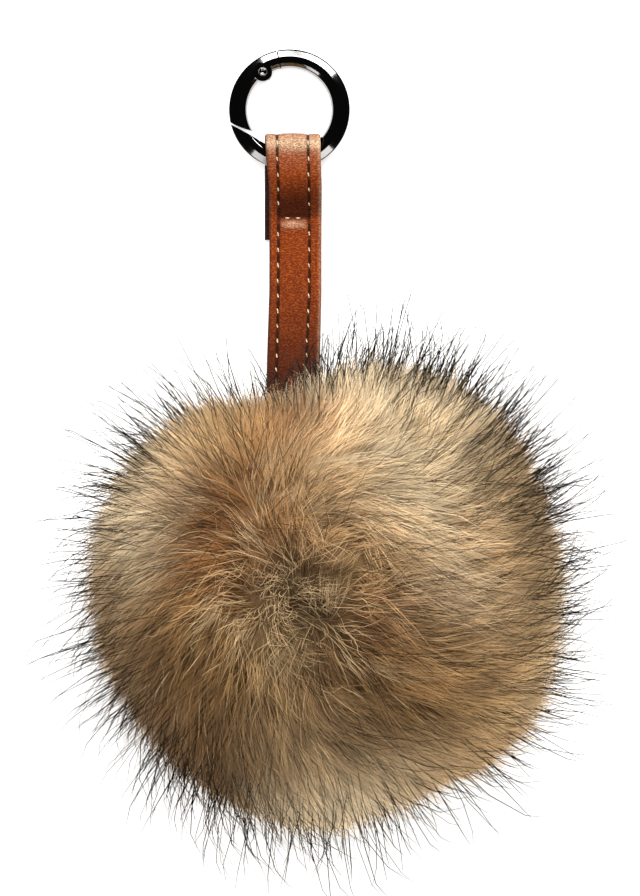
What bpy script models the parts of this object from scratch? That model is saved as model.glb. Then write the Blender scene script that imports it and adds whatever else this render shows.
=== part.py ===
"""A fur ball bag charm, lying on its back: fur ball, folded leather strap, spring gate ring.

Metres, +Z up. The origin is the middle of the flat spot under the ball, the strap
leaves the ball towards +Y, and the ring lies at the strap's far end.
"""

import math

import bmesh
import bpy
import numpy as np
from mathutils import Vector

# Clearances
FIT_GAP = 0.0003  # between neighbouring pieces
FUR_CLEARANCE = 0.0020  # between the locks and the strap

# Fur ball
CORE_RADIUS = 0.0520  # backing and packed underfur
CORE_LUMP = 0.0012  # how far the core swells and sinks
BALL_HEIGHT = 0.0475  # centre of the ball above its flat spot
FLAT_SPOT_RISE = 0.0012  # core points lower than this lie in the flat spot
TOP_REACH = 0.0665  # fur surface straight above the centre
LONGEST_HAIR = 0.0400
TUFT_SHARE = 0.30  # share of the locks that stand out as long tufts
TUFT_EXTRA = (0.0090, 0.0240)  # how far such a tuft stands out
LENGTH_SPREAD = (0.78, 1.12)  # shortest and longest lock of a stretch
BRUSHED_OUT = 0.42  # how strongly the fur lies away from its whorl
BRUSHED_DOWN = 0.30  # how strongly it droops
BRUSH_BEND = 0.0130  # sideways travel of the longest hair for a brush strength of 1
WHORL = Vector((-0.16, 0.10, 0.98)).normalized()  # where the fur parts
LOCK_STATIONS = ((0.28, 0.78), (0.58, 0.52), (0.84, 0.24))  # share of length, share of width

# Plan outline of the fur: azimuth in degrees from +X, reach of the dense fur in metres
FUR_OUTLINE = (
    (0, 0.0675),
    (45, 0.0715),
    (72, 0.0700),
    (90, 0.0640),
    (107, 0.0590),
    (130, 0.0690),
    (180, 0.0670),
    (218, 0.0595),
    (262, 0.0650),
    (290, 0.0625),
    (330, 0.0690),
    (360, 0.0675),
)
# Under the ball the fur is pressed short: latitude in degrees, share of the full length
LOW_FUR = ((-90, 0.25), (-55, 0.34), (-30, 0.75), (-12, 1.0))
BARE_LATITUDE = -57  # below this there are no locks, in degrees
SHORTER_TRIES = (1.0, 0.75, 0.55)  # shares of its length at which a lock is tried
CORE_SUBDIVISIONS = 3
SAMPLES_A_ROW = 7  # along each stretch of a lock, to test it against the strap

# Strap
STRAP_X = -0.0092
STRAP_WIDTH = 0.0158
STRAP_THICKNESS = 0.0014
STRAP_EDGE = 0.0004  # chamfer of its long edges
TAB_END_Y = 0.1008  # end of the back tab
SEAM_Y = 0.1066  # cross seam that holds the tab
FOLD_Y = 0.1309  # outermost point of the fold
FOLD_CORNER = 0.0022  # corner radius of the fold, at mid thickness
CREST_Y = 0.1217  # where the front ply leaves the ring
RISE_Y = 0.1040  # where it starts to rise to the ball
ROOT_SLOPE = math.radians(30)  # how steeply it enters the ball
ROOT_DISTANCE = 0.0490  # seat of the strap on the core, from the ball's centre
STRAP_STEP = 0.0030  # station spacing on the front ply
TAB_STATIONS = 8
CORNER_STATIONS = 6

# Ring
RING_X = -0.0101
RING_Y = 0.1377
WIRE_MIDDLE = 0.01441  # radius of the ring at the middle of its wire
WIRE_WIDTH = 0.00525
WIRE_THICKNESS = 0.0046
WIRE_SQUARENESS = 2.8  # exponent of the wire's rounded section
WIRE_SIDES = 16
ARC_STEP = math.radians(7.5)
TABLE_CONTACT = 0.0156  # radius at which the ring's far side meets the table
SEAM_ANGLE = math.radians(101.25)  # where the gate meets the ring, at the hinge end
PIVOT_ANGLE = math.radians(125.4)
PIVOT_RADIUS = 0.0130  # of the rivet from the ring's centre
BOSS_RADIUS = 0.00265  # knuckle round the rivet
TONGUE_THICKNESS = 0.0016
TONGUE_END = 0.0023  # radius of the tongue's round end
TONGUE_BAND = (0.0124, 0.0162)  # inner and outer radius of the tongue
TONGUE_SPAN = (SEAM_ANGLE - math.radians(9), PIVOT_ANGLE - math.radians(2.5))
TONGUE_STATIONS = 6
CHEEK_SHARE = 0.96  # knuckle's half height, as a share of the wire's
TONGUE_INSET = 0.98  # a little less than flush, so that no two faces coincide
SLOT_INSET = 0.99  # the same for the round end of the fork's slot
RIVET_RADIUS = 0.0007
RIVET_HEAD = 0.0013
RIVET_HEAD_RISE = 0.0006
RIVET_RIM_SHARE = 0.3  # of the rise that is straight
RIVET_CROWN_SHARE = 0.62  # of the head's radius that is its flat crown
RIVET_FLUSH = 0.0001  # how far its back end lies inside the gate's back face
SWING_RADIUS = 0.0170  # of the gate's free end about the rivet
SWING_CUT_SPAN = (215, 300)  # where that end is cut round, in degrees about the rivet
LATCH_DISTANCE = 0.0174  # of the ring's slanted end from the rivet
LATCH_POINT_ANGLE = math.radians(196.9)  # outer corner of that slanted end
LATCH_POINT_RADIUS = 0.01677
RING_END_ANGLE = math.radians(-168)  # the arc is made this long, then cut slanted
GATE_END_ANGLE = math.radians(232)
ROUND_SIDES = 24

SEED = 7

HALF_STRAP = STRAP_THICKNESS / 2
HALF_WIRE = WIRE_THICKNESS / 2
BALL_CENTRE = Vector((0.0, 0.0, BALL_HEIGHT))
TAB_Z = HALF_STRAP
SEAM_Z = STRAP_THICKNESS + FIT_GAP + HALF_STRAP
CREST_Z = STRAP_THICKNESS + WIRE_THICKNESS + 2 * FIT_GAP + HALF_STRAP
ROOT_Y = ROOT_DISTANCE * math.cos(ROOT_SLOPE)
ROOT_Z = BALL_HEIGHT - ROOT_DISTANCE * math.sin(ROOT_SLOPE)
RISE_POWER = math.tan(ROOT_SLOPE) * (RISE_Y - ROOT_Y) / (ROOT_Z - SEAM_Z)
SEAT_NORMAL = Vector((0.0, math.cos(ROOT_SLOPE), -math.sin(ROOT_SLOPE)))
# The ring leans from the tab under its near side to the table under its far side.
RING_TILT = math.asin((STRAP_THICKNESS + FIT_GAP) / (WIRE_MIDDLE + TABLE_CONTACT))
RING_Z = TABLE_CONTACT * math.sin(RING_TILT) + HALF_WIRE * math.cos(RING_TILT)
PIVOT = Vector(
    (PIVOT_RADIUS * math.cos(PIVOT_ANGLE), PIVOT_RADIUS * math.sin(PIVOT_ANGLE), 0.0)
)


def clear_scene():
    for obj in list(bpy.data.objects):
        bpy.data.objects.remove(obj, do_unlink=True)


def material(name, colour, roughness, metallic=0.0):
    made = bpy.data.materials.new(name)
    made.use_nodes = True
    shader = made.node_tree.nodes["Principled BSDF"]
    shader.inputs["Base Color"].default_value = (*colour, 1.0)
    shader.inputs["Roughness"].default_value = roughness
    shader.inputs["Metallic"].default_value = metallic
    return made


def mesh_object(name, points, faces, finish=None):
    """A mesh object whose faces all point out of its closed body."""
    mesh = bpy.data.meshes.new(name)
    mesh.from_pydata([tuple(p) for p in points], [], [tuple(f) for f in faces])
    body = bmesh.new()
    body.from_mesh(mesh)
    bmesh.ops.recalc_face_normals(body, faces=body.faces)
    body.to_mesh(mesh)
    body.free()
    obj = bpy.data.objects.new(name, mesh)
    bpy.context.scene.collection.objects.link(obj)
    if finish:
        mesh.materials.append(finish)
    return obj


def loft(name, rings, finish=None):
    """A closed bar through rings of points, with a flat cap at each end."""
    count = len(rings[0])
    points = [p for ring in rings for p in ring]
    faces = []
    for row in range(len(rings) - 1):
        for k in range(count):
            a = row * count + k
            b = row * count + (k + 1) % count
            faces.append((a, b, b + count, a + count))
    faces.append(range(count))
    faces.append(range(len(points) - count, len(points)))
    return mesh_object(name, points, faces, finish)


def cut(obj, tool, operation="DIFFERENCE"):
    tool.hide_render = True
    tool.display_type = "WIRE"
    modifier = obj.modifiers.new(tool.name, "BOOLEAN")
    modifier.operation = operation
    modifier.solver = "EXACT"
    modifier.object = tool


def parented(obj, parent):
    obj.parent = parent
    return obj


# Fur ball


def brush(direction):
    """The way the fur lies: away from the whorl and down, along the surface."""
    pull = BRUSHED_OUT * (direction - WHORL) + BRUSHED_DOWN * Vector((0, 0, -1))
    return pull - pull.dot(direction) * direction


def hair_point(root, height):
    """Where a hair that starts at this point of the core is, this far above the core."""
    direction = (root - BALL_CENTRE).normalized()
    bend = BRUSH_BEND * (height / LONGEST_HAIR) ** 2
    return root + height * direction + bend * brush(direction)


def lump(direction):
    """The core's uneven swelling, from three slow waves."""
    wave = math.sin(5 * direction.x + 1) + math.sin(6 * direction.y + 2)
    return CORE_LUMP * (wave + math.sin(5 * direction.z)) / 2


def fur_length(root, chance):
    """Length of the lock that starts here, from the outline's reach and a chance, or 0."""
    direction = (root - BALL_CENTRE).normalized()
    azimuth = math.degrees(math.atan2(direction.y, direction.x)) % 360
    latitude = math.degrees(math.asin(direction.z))
    reach = np.interp(azimuth, *zip(*FUR_OUTLINE))
    side = math.cos(math.radians(latitude)) ** 2
    reach = side * reach + (1 - side) * TOP_REACH
    length = (reach - CORE_RADIUS) * chance.uniform(*LENGTH_SPREAD)
    if chance.random() < TUFT_SHARE:
        length += chance.uniform(*TUFT_EXTRA)
    if latitude < BARE_LATITUDE:
        return 0.0
    return float(length * np.interp(latitude, *zip(*LOW_FUR)))


def strap_leg_z(y):
    """Height of the strap's front ply, at mid thickness, between the ball and the ring."""
    if y >= SEAM_Y:
        t = min((y - SEAM_Y) / (CREST_Y - SEAM_Y), 1.0)
        return SEAM_Z + (CREST_Z - SEAM_Z) * t * t * (3 - 2 * t)
    if y >= RISE_Y:
        return SEAM_Z
    return SEAM_Z + (ROOT_Z - SEAM_Z) * ((RISE_Y - y) / (RISE_Y - ROOT_Y)) ** RISE_POWER


def clear_of_strap(points):
    """Whether all of these points keep the fur's clearance to the strap."""
    for point in points:
        beside = abs(point.x - STRAP_X) - STRAP_WIDTH / 2
        beyond = point.y - ROOT_Y
        if beside > FUR_CLEARANCE or beyond < -FUR_CLEARANCE:
            continue
        apart = abs(point.z - strap_leg_z(max(point.y, ROOT_Y))) - HALF_STRAP
        if apart < FUR_CLEARANCE:
            return False
    return True


def lock_rings(corners, length):
    """The rings of one lock, narrowing to a tip. One that meets the table lies level on it."""
    middle = sum(corners, Vector()) / len(corners)
    rings = []
    for share, width in LOCK_STATIONS:
        axis = hair_point(middle, share * length)
        ring = [axis + width * (hair_point(c, share * length) - axis) for c in corners]
        rings.append(ring)
    rings.append([hair_point(middle, length)])
    for ring in rings:
        lift = max(0.0, -min(p.z for p in ring))
        for point in ring:
            point.z += lift
    return rings


def lock_samples(corners, rings):
    """Points spread over a lock, dense enough to test it against the strap."""
    rows = [corners, *rings[:-1], [rings[-1][0]] * len(corners)]
    samples = []
    for low, high in zip(rows, rows[1:]):
        for share in np.linspace(0, 1, SAMPLES_A_ROW):
            samples += [a.lerp(b, float(share)) for a, b in zip(low, high)]
    return samples


def core_mesh():
    """The lumpy core, with its flat spot and the flat seat that the strap is sewn to."""
    core = bmesh.new()
    bmesh.ops.create_icosphere(core, subdivisions=CORE_SUBDIVISIONS, radius=CORE_RADIUS)
    seat = Vector((STRAP_X, ROOT_Y, ROOT_Z)) + FIT_GAP * -SEAT_NORMAL
    turn = Vector((0, 0, 1)).rotation_difference(seat - BALL_CENTRE).to_matrix()
    bmesh.ops.rotate(core, verts=core.verts, matrix=turn)
    for vert in core.verts:
        vert.co += lump(vert.co.normalized()) * vert.co.normalized()
        vert.co += BALL_CENTRE
        if vert.co.z < FLAT_SPOT_RISE:
            vert.co.z = 0.0
    root = min(core.verts, key=lambda vert: (vert.co - seat).length)
    fan = set(root.link_faces)
    for vert in {v for face in fan for v in face.verts}:
        vert.co -= (vert.co - seat).dot(SEAT_NORMAL) * SEAT_NORMAL
    return core, fan


def fur_ball(finish):
    """Core and locks as one body: each face of the core grows into a lock."""
    core, bare = core_mesh()
    core.verts.ensure_lookup_table()
    core.faces.ensure_lookup_table()
    chance = np.random.default_rng(SEED)
    points = [vert.co.copy() for vert in core.verts]
    faces = []
    locks = 0
    for face in core.faces:
        corners = [vert.co for vert in face.verts]
        base = [vert.index for vert in face.verts]
        length = fur_length(face.calc_center_median(), chance)
        rings = None
        if length and face not in bare:
            for share in SHORTER_TRIES:
                tried = lock_rings(corners, share * length)
                if clear_of_strap(lock_samples(corners, tried)):
                    rings = tried
                    break
        if rings is None:
            faces.append(base)
            continue
        locks += 1
        for ring in rings[:-1]:
            above = list(range(len(points), len(points) + 3))
            points += ring
            for k in range(3):
                n = (k + 1) % 3
                faces.append((base[k], base[n], above[n]))
                faces.append((base[k], above[n], above[k]))
            base = above
        tip = len(points)
        points += rings[-1]
        faces += [(base[k], base[(k + 1) % 3], tip) for k in range(3)]
    core.free()
    print("fur ball:", locks, "locks")
    return mesh_object("fur_ball", points, faces, finish)


# Strap


def strap_path():
    """The strap's middle line as (y, z) points: back tab, fold round the ring, front ply."""
    fold = FOLD_Y - HALF_STRAP - FOLD_CORNER
    path = [(y, TAB_Z) for y in np.linspace(TAB_END_Y, fold, TAB_STATIONS)[:-1]]
    for start, z in ((-90, TAB_Z + FOLD_CORNER), (0, CREST_Z - FOLD_CORNER)):
        for angle in np.radians(np.linspace(start, start + 90, CORNER_STATIONS)):
            turn = (fold + FOLD_CORNER * math.cos(angle), z + FOLD_CORNER * math.sin(angle))
            path.append(turn)
    steps = round((fold - ROOT_Y) / STRAP_STEP)
    path += [(y, strap_leg_z(y)) for y in np.linspace(fold, ROOT_Y, steps)[1:]]
    return np.array(path)


def strap(finish):
    path = strap_path()
    along = np.gradient(path, axis=0)
    along /= np.linalg.norm(along, axis=1)[:, None]
    along[0] = (1, 0)
    along[-1] = (-math.cos(ROOT_SLOPE), math.sin(ROOT_SLOPE))
    half = STRAP_WIDTH / 2
    inset = half - STRAP_EDGE
    low = HALF_STRAP - STRAP_EDGE
    section = [(inset, HALF_STRAP), (half, low), (half, -low), (inset, -HALF_STRAP)]
    section += [(-x, z) for x, z in reversed(section)]
    rings = []
    for (y, z), (dy, dz) in zip(path, along):
        rings.append([(STRAP_X + x, y - dz * up, z + dy * up) for x, up in section])
    return loft("strap", rings, finish)


# Ring, in its own plane: X and Y across the ring, Z along its axis


def polar(radius, angle, z=0.0):
    return Vector((radius * math.cos(angle), radius * math.sin(angle), z))


def wire_section():
    """(radius, height) points of the wire's rounded section, with a flat on each side."""
    angles = (np.arange(WIRE_SIDES) + 0.5) * 2 * math.pi / WIRE_SIDES
    across = np.cos(angles)
    up = np.sin(angles)
    power = 2 / WIRE_SQUARENESS
    across = np.sign(across) * np.abs(across) ** power
    up = np.sign(up) * np.abs(up) ** power
    return list(
        zip(
            WIRE_MIDDLE + across * WIRE_WIDTH / 2 / across.max(),
            up * HALF_WIRE / up.max(),
        )
    )


def arc_bar(name, section, angles, finish=None):
    rings = [[polar(r, angle, z) for r, z in section] for angle in angles]
    return loft(name, rings, finish)


def plate_section(inner, outer, thickness):
    half = thickness / 2
    return [(inner, -half), (outer, -half), (outer, half), (inner, half)]


def disc(name, centre, radius, low, high, finish=None):
    """A round plate or pin along Z."""
    turns = np.arange(ROUND_SIDES) * 2 * math.pi / ROUND_SIDES
    rings = [
        [centre + polar(radius, turn, z) for turn in turns] for z in (low, high)
    ]
    return loft(name, rings, finish)


def block(name, corner, along, side, length, width, height):
    """A box cutter that starts at corner and runs along one way and to one side."""
    outline = [
        corner,
        corner + length * along,
        corner + length * along + width * side,
        corner + width * side,
    ]
    rings = [[p + Vector((0, 0, z)) for p in outline] for z in (-height, height)]
    return loft(name, rings)


def ring_body(frame, finish):
    """The fixed part of the ring: a C of wire with a tongue at the hinge end."""
    steps = round((SEAM_ANGLE - RING_END_ANGLE) / ARC_STEP)
    angles = SEAM_ANGLE - ARC_STEP * np.arange(steps + 1)
    body = parented(arc_bar("ring_body", wire_section(), angles, finish), frame)
    tongue = arc_bar(
        "tongue",
        plate_section(*TONGUE_BAND, TONGUE_THICKNESS),
        np.linspace(*TONGUE_SPAN, TONGUE_STATIONS),
    )
    half = TONGUE_THICKNESS / 2
    inset = half * TONGUE_INSET
    tongue_end = disc("tongue_end", PIVOT, TONGUE_END, -inset, inset)
    cut(body, parented(tongue, frame), "UNION")
    cut(body, parented(tongue_end, frame), "UNION")
    hole = disc("tongue_hole", PIVOT, RIVET_RADIUS + FIT_GAP, -HALF_WIRE, HALF_WIRE)
    cut(body, parented(hole, frame))
    towards = (PIVOT - polar(LATCH_POINT_RADIUS, LATCH_POINT_ANGLE)).normalized()
    across = Vector((towards.y, -towards.x, 0))
    corner = PIVOT - LATCH_DISTANCE * towards - WIRE_WIDTH * across
    latch = block(
        "latch_cut", corner, across, towards, 3 * WIRE_WIDTH, WIRE_WIDTH, WIRE_THICKNESS
    )
    cut(body, parented(latch, frame))
    return body


def ring_gate(frame, finish):
    """The moving part: an arc of wire, forked round the tongue, with a knuckle."""
    start = SEAM_ANGLE + FIT_GAP / (WIRE_MIDDLE - WIRE_WIDTH / 2)
    steps = round((GATE_END_ANGLE - start) / ARC_STEP)
    gate = arc_bar(
        "ring_gate", wire_section(), np.linspace(start, GATE_END_ANGLE, steps + 1), finish
    )
    parented(gate, frame)
    cheek = HALF_WIRE * CHEEK_SHARE
    boss = disc("knuckle", PIVOT, BOSS_RADIUS, -cheek, cheek)
    cut(gate, parented(boss, frame), "UNION")
    slot_half = TONGUE_THICKNESS / 2 + FIT_GAP
    hinge_way = Vector((math.sin(PIVOT_ANGLE), -math.cos(PIVOT_ANGLE), 0))
    outward = polar(1.0, PIVOT_ANGLE)
    corner = PIVOT - 2 * WIRE_WIDTH * outward
    slot = block(
        "fork_slot", corner, outward, hinge_way, 4 * WIRE_WIDTH, 2 * WIRE_WIDTH, slot_half
    )
    cut(gate, parented(slot, frame))
    inset = slot_half * SLOT_INSET
    round_slot = disc("fork_round", PIVOT, TONGUE_END + FIT_GAP, -inset, inset)
    cut(gate, parented(round_slot, frame))
    hole = disc("gate_hole", PIVOT, RIVET_RADIUS + FIT_GAP, -2 * HALF_WIRE, 2 * HALF_WIRE)
    cut(gate, parented(hole, frame))
    cut(gate, parented(swing_cutter(), frame))
    return gate


def swing_cutter():
    """Takes away what the gate's free end would have beyond its swing about the rivet."""
    section = plate_section(SWING_RADIUS, 2 * SWING_RADIUS, 2 * WIRE_THICKNESS)
    angles = np.radians(np.linspace(*SWING_CUT_SPAN, ROUND_SIDES))
    rings = [[PIVOT + polar(r, angle, z) for r, z in section] for angle in angles]
    return loft("swing_cut", rings)


def gate_rivet(frame, finish):
    """The rivet: a shank through fork and tongue, flush behind, low domed head in front."""
    face = HALF_WIRE + FIT_GAP
    profile = [
        (RIVET_RADIUS, -HALF_WIRE + RIVET_FLUSH),
        (RIVET_RADIUS, face),
        (RIVET_HEAD, face),
        (RIVET_HEAD, face + RIVET_RIM_SHARE * RIVET_HEAD_RISE),
        (RIVET_CROWN_SHARE * RIVET_HEAD, face + RIVET_HEAD_RISE),
    ]
    turns = np.arange(ROUND_SIDES) * 2 * math.pi / ROUND_SIDES
    rings = [[PIVOT + polar(r, turn, z) for turn in turns] for r, z in profile]
    return parented(loft("gate_rivet", rings, finish), frame)


def main():
    clear_scene()
    fur = material("fur", (0.45, 0.31, 0.18), 0.85)
    leather = material("leather", (0.36, 0.11, 0.03), 0.45)
    metal = material("dark_chrome", (0.07, 0.07, 0.08), 0.12, 1.0)
    ring_frame = bpy.data.objects.new("ring_frame", None)
    bpy.context.scene.collection.objects.link(ring_frame)
    ring_frame.location = (RING_X, RING_Y, RING_Z)
    ring_frame.rotation_euler = (-RING_TILT, 0, 0)
    fur_ball(fur)
    strap(leather)
    ring_body(ring_frame, metal)
    ring_gate(ring_frame, metal)
    gate_rivet(ring_frame, metal)
    bpy.context.view_layer.update()


main()
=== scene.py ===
# %% [markdown]
# # A fur ball bag charm
# The real charm is a ball of long fur, a strap of stitched brown leather and a spring
# gate ring. The construction, its sizes and the hinge of the gate come from a packed
# frame. This lesson dresses that frame: every hair, stitch and polished edge is made
# here from formulas, in metres, in the frame's own coordinates.

import bmesh
import bpy
import numpy as np
from mathutils import Matrix, Vector


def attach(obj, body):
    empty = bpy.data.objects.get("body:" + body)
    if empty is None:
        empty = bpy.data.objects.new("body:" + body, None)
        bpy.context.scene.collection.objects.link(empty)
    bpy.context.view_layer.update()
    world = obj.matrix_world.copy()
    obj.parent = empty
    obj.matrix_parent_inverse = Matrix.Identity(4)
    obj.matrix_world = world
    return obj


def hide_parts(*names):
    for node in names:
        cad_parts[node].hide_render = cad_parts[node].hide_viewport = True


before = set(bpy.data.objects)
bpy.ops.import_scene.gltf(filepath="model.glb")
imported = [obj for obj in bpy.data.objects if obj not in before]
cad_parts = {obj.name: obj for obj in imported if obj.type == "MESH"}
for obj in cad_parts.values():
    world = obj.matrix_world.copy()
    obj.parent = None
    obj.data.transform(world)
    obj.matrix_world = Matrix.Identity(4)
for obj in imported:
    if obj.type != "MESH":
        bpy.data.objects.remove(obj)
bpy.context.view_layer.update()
scene = bpy.context.scene
MM = 0.001
TAU = 2 * np.pi

# %% [markdown]
# ## Camera and light
# The charm lies on its back and is looked at from straight above through a long lens, so
# that the picture is almost a plan. The picture is 640 by 896 pixels, and the strap's
# width gives its scale. Light comes softly from beyond the ring, with a paler fill from
# all round, as in a light tent: polished metal needs bright panels with dark between.

# %% Camera
PICTURE = (640, 896)
MM_PER_PIXEL = 0.284
BALL_PIXEL = (325, 595)  # the ball's centre in the picture, which is the frame's origin
CAMERA_HEIGHT = 3.0
SENSOR = 36  # in mm, along the longer side of the picture


def plan(pixel_x, pixel_y):
    """Plan position in metres of a place in the picture: pixels times the scale."""
    scale = MM_PER_PIXEL * MM
    return (pixel_x - BALL_PIXEL[0]) * scale, (BALL_PIXEL[1] - pixel_y) * scale


camera = bpy.data.objects.new("camera", bpy.data.cameras.new("camera"))
scene.collection.objects.link(camera)
scene.camera = camera
camera.location = (*plan(PICTURE[0] / 2, PICTURE[1] / 2), CAMERA_HEIGHT)
camera.data.lens = SENSOR * CAMERA_HEIGHT / (PICTURE[1] * MM_PER_PIXEL * MM)
camera.data.clip_start = 0.1
scene.view_settings.view_transform = "Standard"
print("lens in mm:", round(camera.data.lens))

# %% Lights, floor and sky
LIGHT_TARGET = (0, 0.02, 0.05)
# name, place, width and height, watts
LIGHTS = (
    ("key_light", (0.15, 1.05, 0.75), (1.3, 0.3), 13.0),
    ("front_light", (-0.1, 0.75, 1.25), (0.8, 0.8), 12.0),
    ("left_light", (-0.72, -0.90, 0.92), (0.5, 0.6), 2.2),
    ("right_light", (0.80, -0.80, 0.90), (0.55, 0.6), 2.8),
)
SKY_LIGHT, SKY_IN_MIRRORS = 0.76, 0.008
FLOOR_HALF = 2.0


def soft_light(name, place, size, watts):
    """A lamp of this width and height at place that faces LIGHT_TARGET."""
    lamp = bpy.data.lights.new(name, "AREA")
    lamp.shape = "RECTANGLE"
    lamp.size, lamp.size_y = size
    lamp.energy = watts
    made = bpy.data.objects.new(name, lamp)
    scene.collection.objects.link(made)
    made.location = place
    away = Vector(place) - Vector(LIGHT_TARGET)
    made.rotation_euler = away.to_track_quat("Z", "Y").to_euler()
    return made


lamps = {light[0]: soft_light(*light) for light in LIGHTS}
lamps["front_light"].visible_glossy = False  # it lights the fur, and the metal stays black

world = bpy.data.worlds.new("sky")
scene.world = world
world.use_nodes = True
sky = world.node_tree
background = sky.nodes["Background"].inputs
background["Color"].default_value = (1, 1, 1, 1)
glossy = sky.nodes.new("ShaderNodeLightPath").outputs["Is Glossy Ray"]
dimmed = sky.nodes.new("ShaderNodeMapRange")
dimmed.inputs["To Min"].default_value = SKY_LIGHT
dimmed.inputs["To Max"].default_value = SKY_IN_MIRRORS
sky.links.new(glossy, dimmed.inputs["Value"])
sky.links.new(dimmed.outputs["Result"], background["Strength"])

floor_mesh = bpy.data.meshes.new("floor")
floor_signs = ((-1, -1), (1, -1), (1, 1), (-1, 1))
floor_corners = [(x * FLOOR_HALF, y * FLOOR_HALF, 0) for x, y in floor_signs]
floor_mesh.from_pydata(floor_corners, [], [(0, 1, 2, 3)])
floor = bpy.data.objects.new("floor", floor_mesh)
scene.collection.objects.link(floor)
print("lamps:", sorted(lamps))

# %% [markdown]
# ## Shader helpers
# A shader is a small graph. The helpers below add a node and join its sockets in one
# call. Effects that more than one material needs are node groups with named inputs, so
# that each material places them with its own values.

# %% Node helpers


def feed(tree, node, inputs):
    """Gives a node's sockets, by name or number, a value or a link from another socket."""
    for key, value in inputs.items():
        if isinstance(value, bpy.types.NodeSocket):
            tree.links.new(value, node.inputs[key])
        else:
            node.inputs[key].default_value = value


def add_node(tree, kind, inputs=None, **settings):
    """A node of this kind with these settings, fed with these inputs."""
    made = tree.nodes.new(kind)
    for name, value in settings.items():
        setattr(made, name, value)
    feed(tree, made, inputs or {})
    return made


def node_group(name, inputs, outputs):
    """An empty node group with these sockets, and its input and output nodes."""
    group = bpy.data.node_groups.new(name, "ShaderNodeTree")
    for way, sockets in (("INPUT", inputs), ("OUTPUT", outputs)):
        for socket, (kind, value) in sockets.items():
            made = group.interface.new_socket(socket, in_out=way, socket_type=kind)
            if value is not None:
                made.default_value = value
    return group, group.nodes.new("NodeGroupInput"), group.nodes.new("NodeGroupOutput")


def new_material(name):
    """A material, its tree and its Principled shader."""
    made = bpy.data.materials.new(name)
    made.use_nodes = True
    tree = made.node_tree
    return made, tree, tree.nodes["Principled BSDF"]


def mix_colour(tree, factor, first, second):
    """The colour socket of a mix of two colours."""
    inputs = {0: factor, 6: first, 7: second}
    return add_node(tree, "ShaderNodeMix", inputs, data_type="RGBA").outputs[2]


def maths(tree, operation, first, second):
    """The value socket of one calculation."""
    inputs = {0: first, 1: second}
    return add_node(tree, "ShaderNodeMath", inputs, operation=operation).outputs[0]


def times(tree, first, second):
    """The value socket of a product."""
    return maths(tree, "MULTIPLY", first, second)


def without(tree, value):
    """The value socket of 1 - value."""
    return maths(tree, "SUBTRACT", 1.0, value)


def between(tree, value, low, high):
    """0 below low, 1 above high, smooth between."""
    inputs = {"Value": value, "From Min": low, "From Max": high}
    node = add_node(tree, "ShaderNodeMapRange", inputs, interpolation_type="SMOOTHSTEP")
    return node.outputs["Result"]


def rider(tree, name, output="Fac"):
    """The socket of a value that rides on the points of a piece."""
    return add_node(tree, "ShaderNodeAttribute", attribute_name=name).outputs[output]


def object_place(tree):
    """The socket of a point's place in its object's own coordinates."""
    return add_node(tree, "ShaderNodeTexCoord").outputs["Object"]


def srgb(red, green, blue):
    """A colour as seen on screen, 0 to 255, as linear light."""
    seen = np.array((red, green, blue)) / 255
    return np.where(seen <= 0.04045, seen / 12.92, ((seen + 0.055) / 1.055) ** 2.4)


def paint(*seen):
    """A colour as seen on screen, for a colour socket: linear light and full cover."""
    return (*srgb(*seen), 1)


FLOOR_GLOW = 0.52  # as on a light table
floor_material, tree, shader = new_material("floor_paper")
paper = {
    "Base Color": (0.85, 0.85, 0.85, 1),
    "Roughness": 1.0,
    "Specular IOR Level": 0.0,
    "Emission Color": (1, 1, 1, 1),
    "Emission Strength": FLOOR_GLOW,
}
feed(tree, shader, paper)
floor_mesh.materials.append(floor_material)

# %% [markdown]
# ## Surfaces from arrays
# Two shapes cover nearly all that follows. A sweep carries a closed section along a
# path, which makes straps, wire and thread. A field of strands makes fur: each hair is a
# thin three-sided spike, and all hairs of a layer are one mesh built from whole arrays.

# %% Mesh helpers


def mesh_piece(name, points, corners, counts, finish):
    """An object from flat arrays: points, the corner list of all faces, corners a face."""
    mesh = bpy.data.meshes.new(name)
    mesh.vertices.add(len(points))
    mesh.vertices.foreach_set("co", np.asarray(points, np.float32).ravel())
    mesh.loops.add(len(corners))
    mesh.loops.foreach_set("vertex_index", np.asarray(corners, np.int32))
    mesh.polygons.add(len(counts))
    counts = np.asarray(counts, np.int32)
    starts = np.concatenate([[0], np.cumsum(counts)[:-1]]).astype(np.int32)
    mesh.polygons.foreach_set("loop_start", starts)
    mesh.polygons.foreach_set("use_smooth", np.ones(len(counts), bool))
    mesh.update(calc_edges=True)
    mesh.validate()
    mesh.materials.append(finish)
    made = bpy.data.objects.new(name, mesh)
    scene.collection.objects.link(made)
    return made


def attribute(piece, name, values, kind="FLOAT"):
    """Puts one value for each point on a piece, for its material to read."""
    layer = piece.data.attributes.new(name, kind, "POINT")
    values = np.asarray(values, np.float32)
    if kind == "FLOAT_COLOR":
        values = np.concatenate([values, np.ones((len(values), 1), np.float32)], axis=1)
    layer.data.foreach_set("color" if kind == "FLOAT_COLOR" else "value", values.ravel())


def grid_faces(rows, columns):
    """Quads between the points of a grid whose columns close on themselves."""
    row = np.arange(rows - 1)[:, None] * columns
    column = np.arange(columns)[None, :]
    after = (column + 1) % columns
    quads = (row + column, row + after, row + columns + after, row + columns + column)
    return np.stack(quads, axis=-1).reshape(-1, 4)


def sweep_faces(rows, columns):
    """Corners of the quads of a sweep and of a cap at each end, and corners a face."""
    cap = np.arange(columns)
    quads = grid_faces(rows, columns)
    corners = np.concatenate([quads.ravel(), cap[::-1], cap + (rows - 1) * columns])
    return corners, [4] * len(quads) + [columns, columns]


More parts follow.
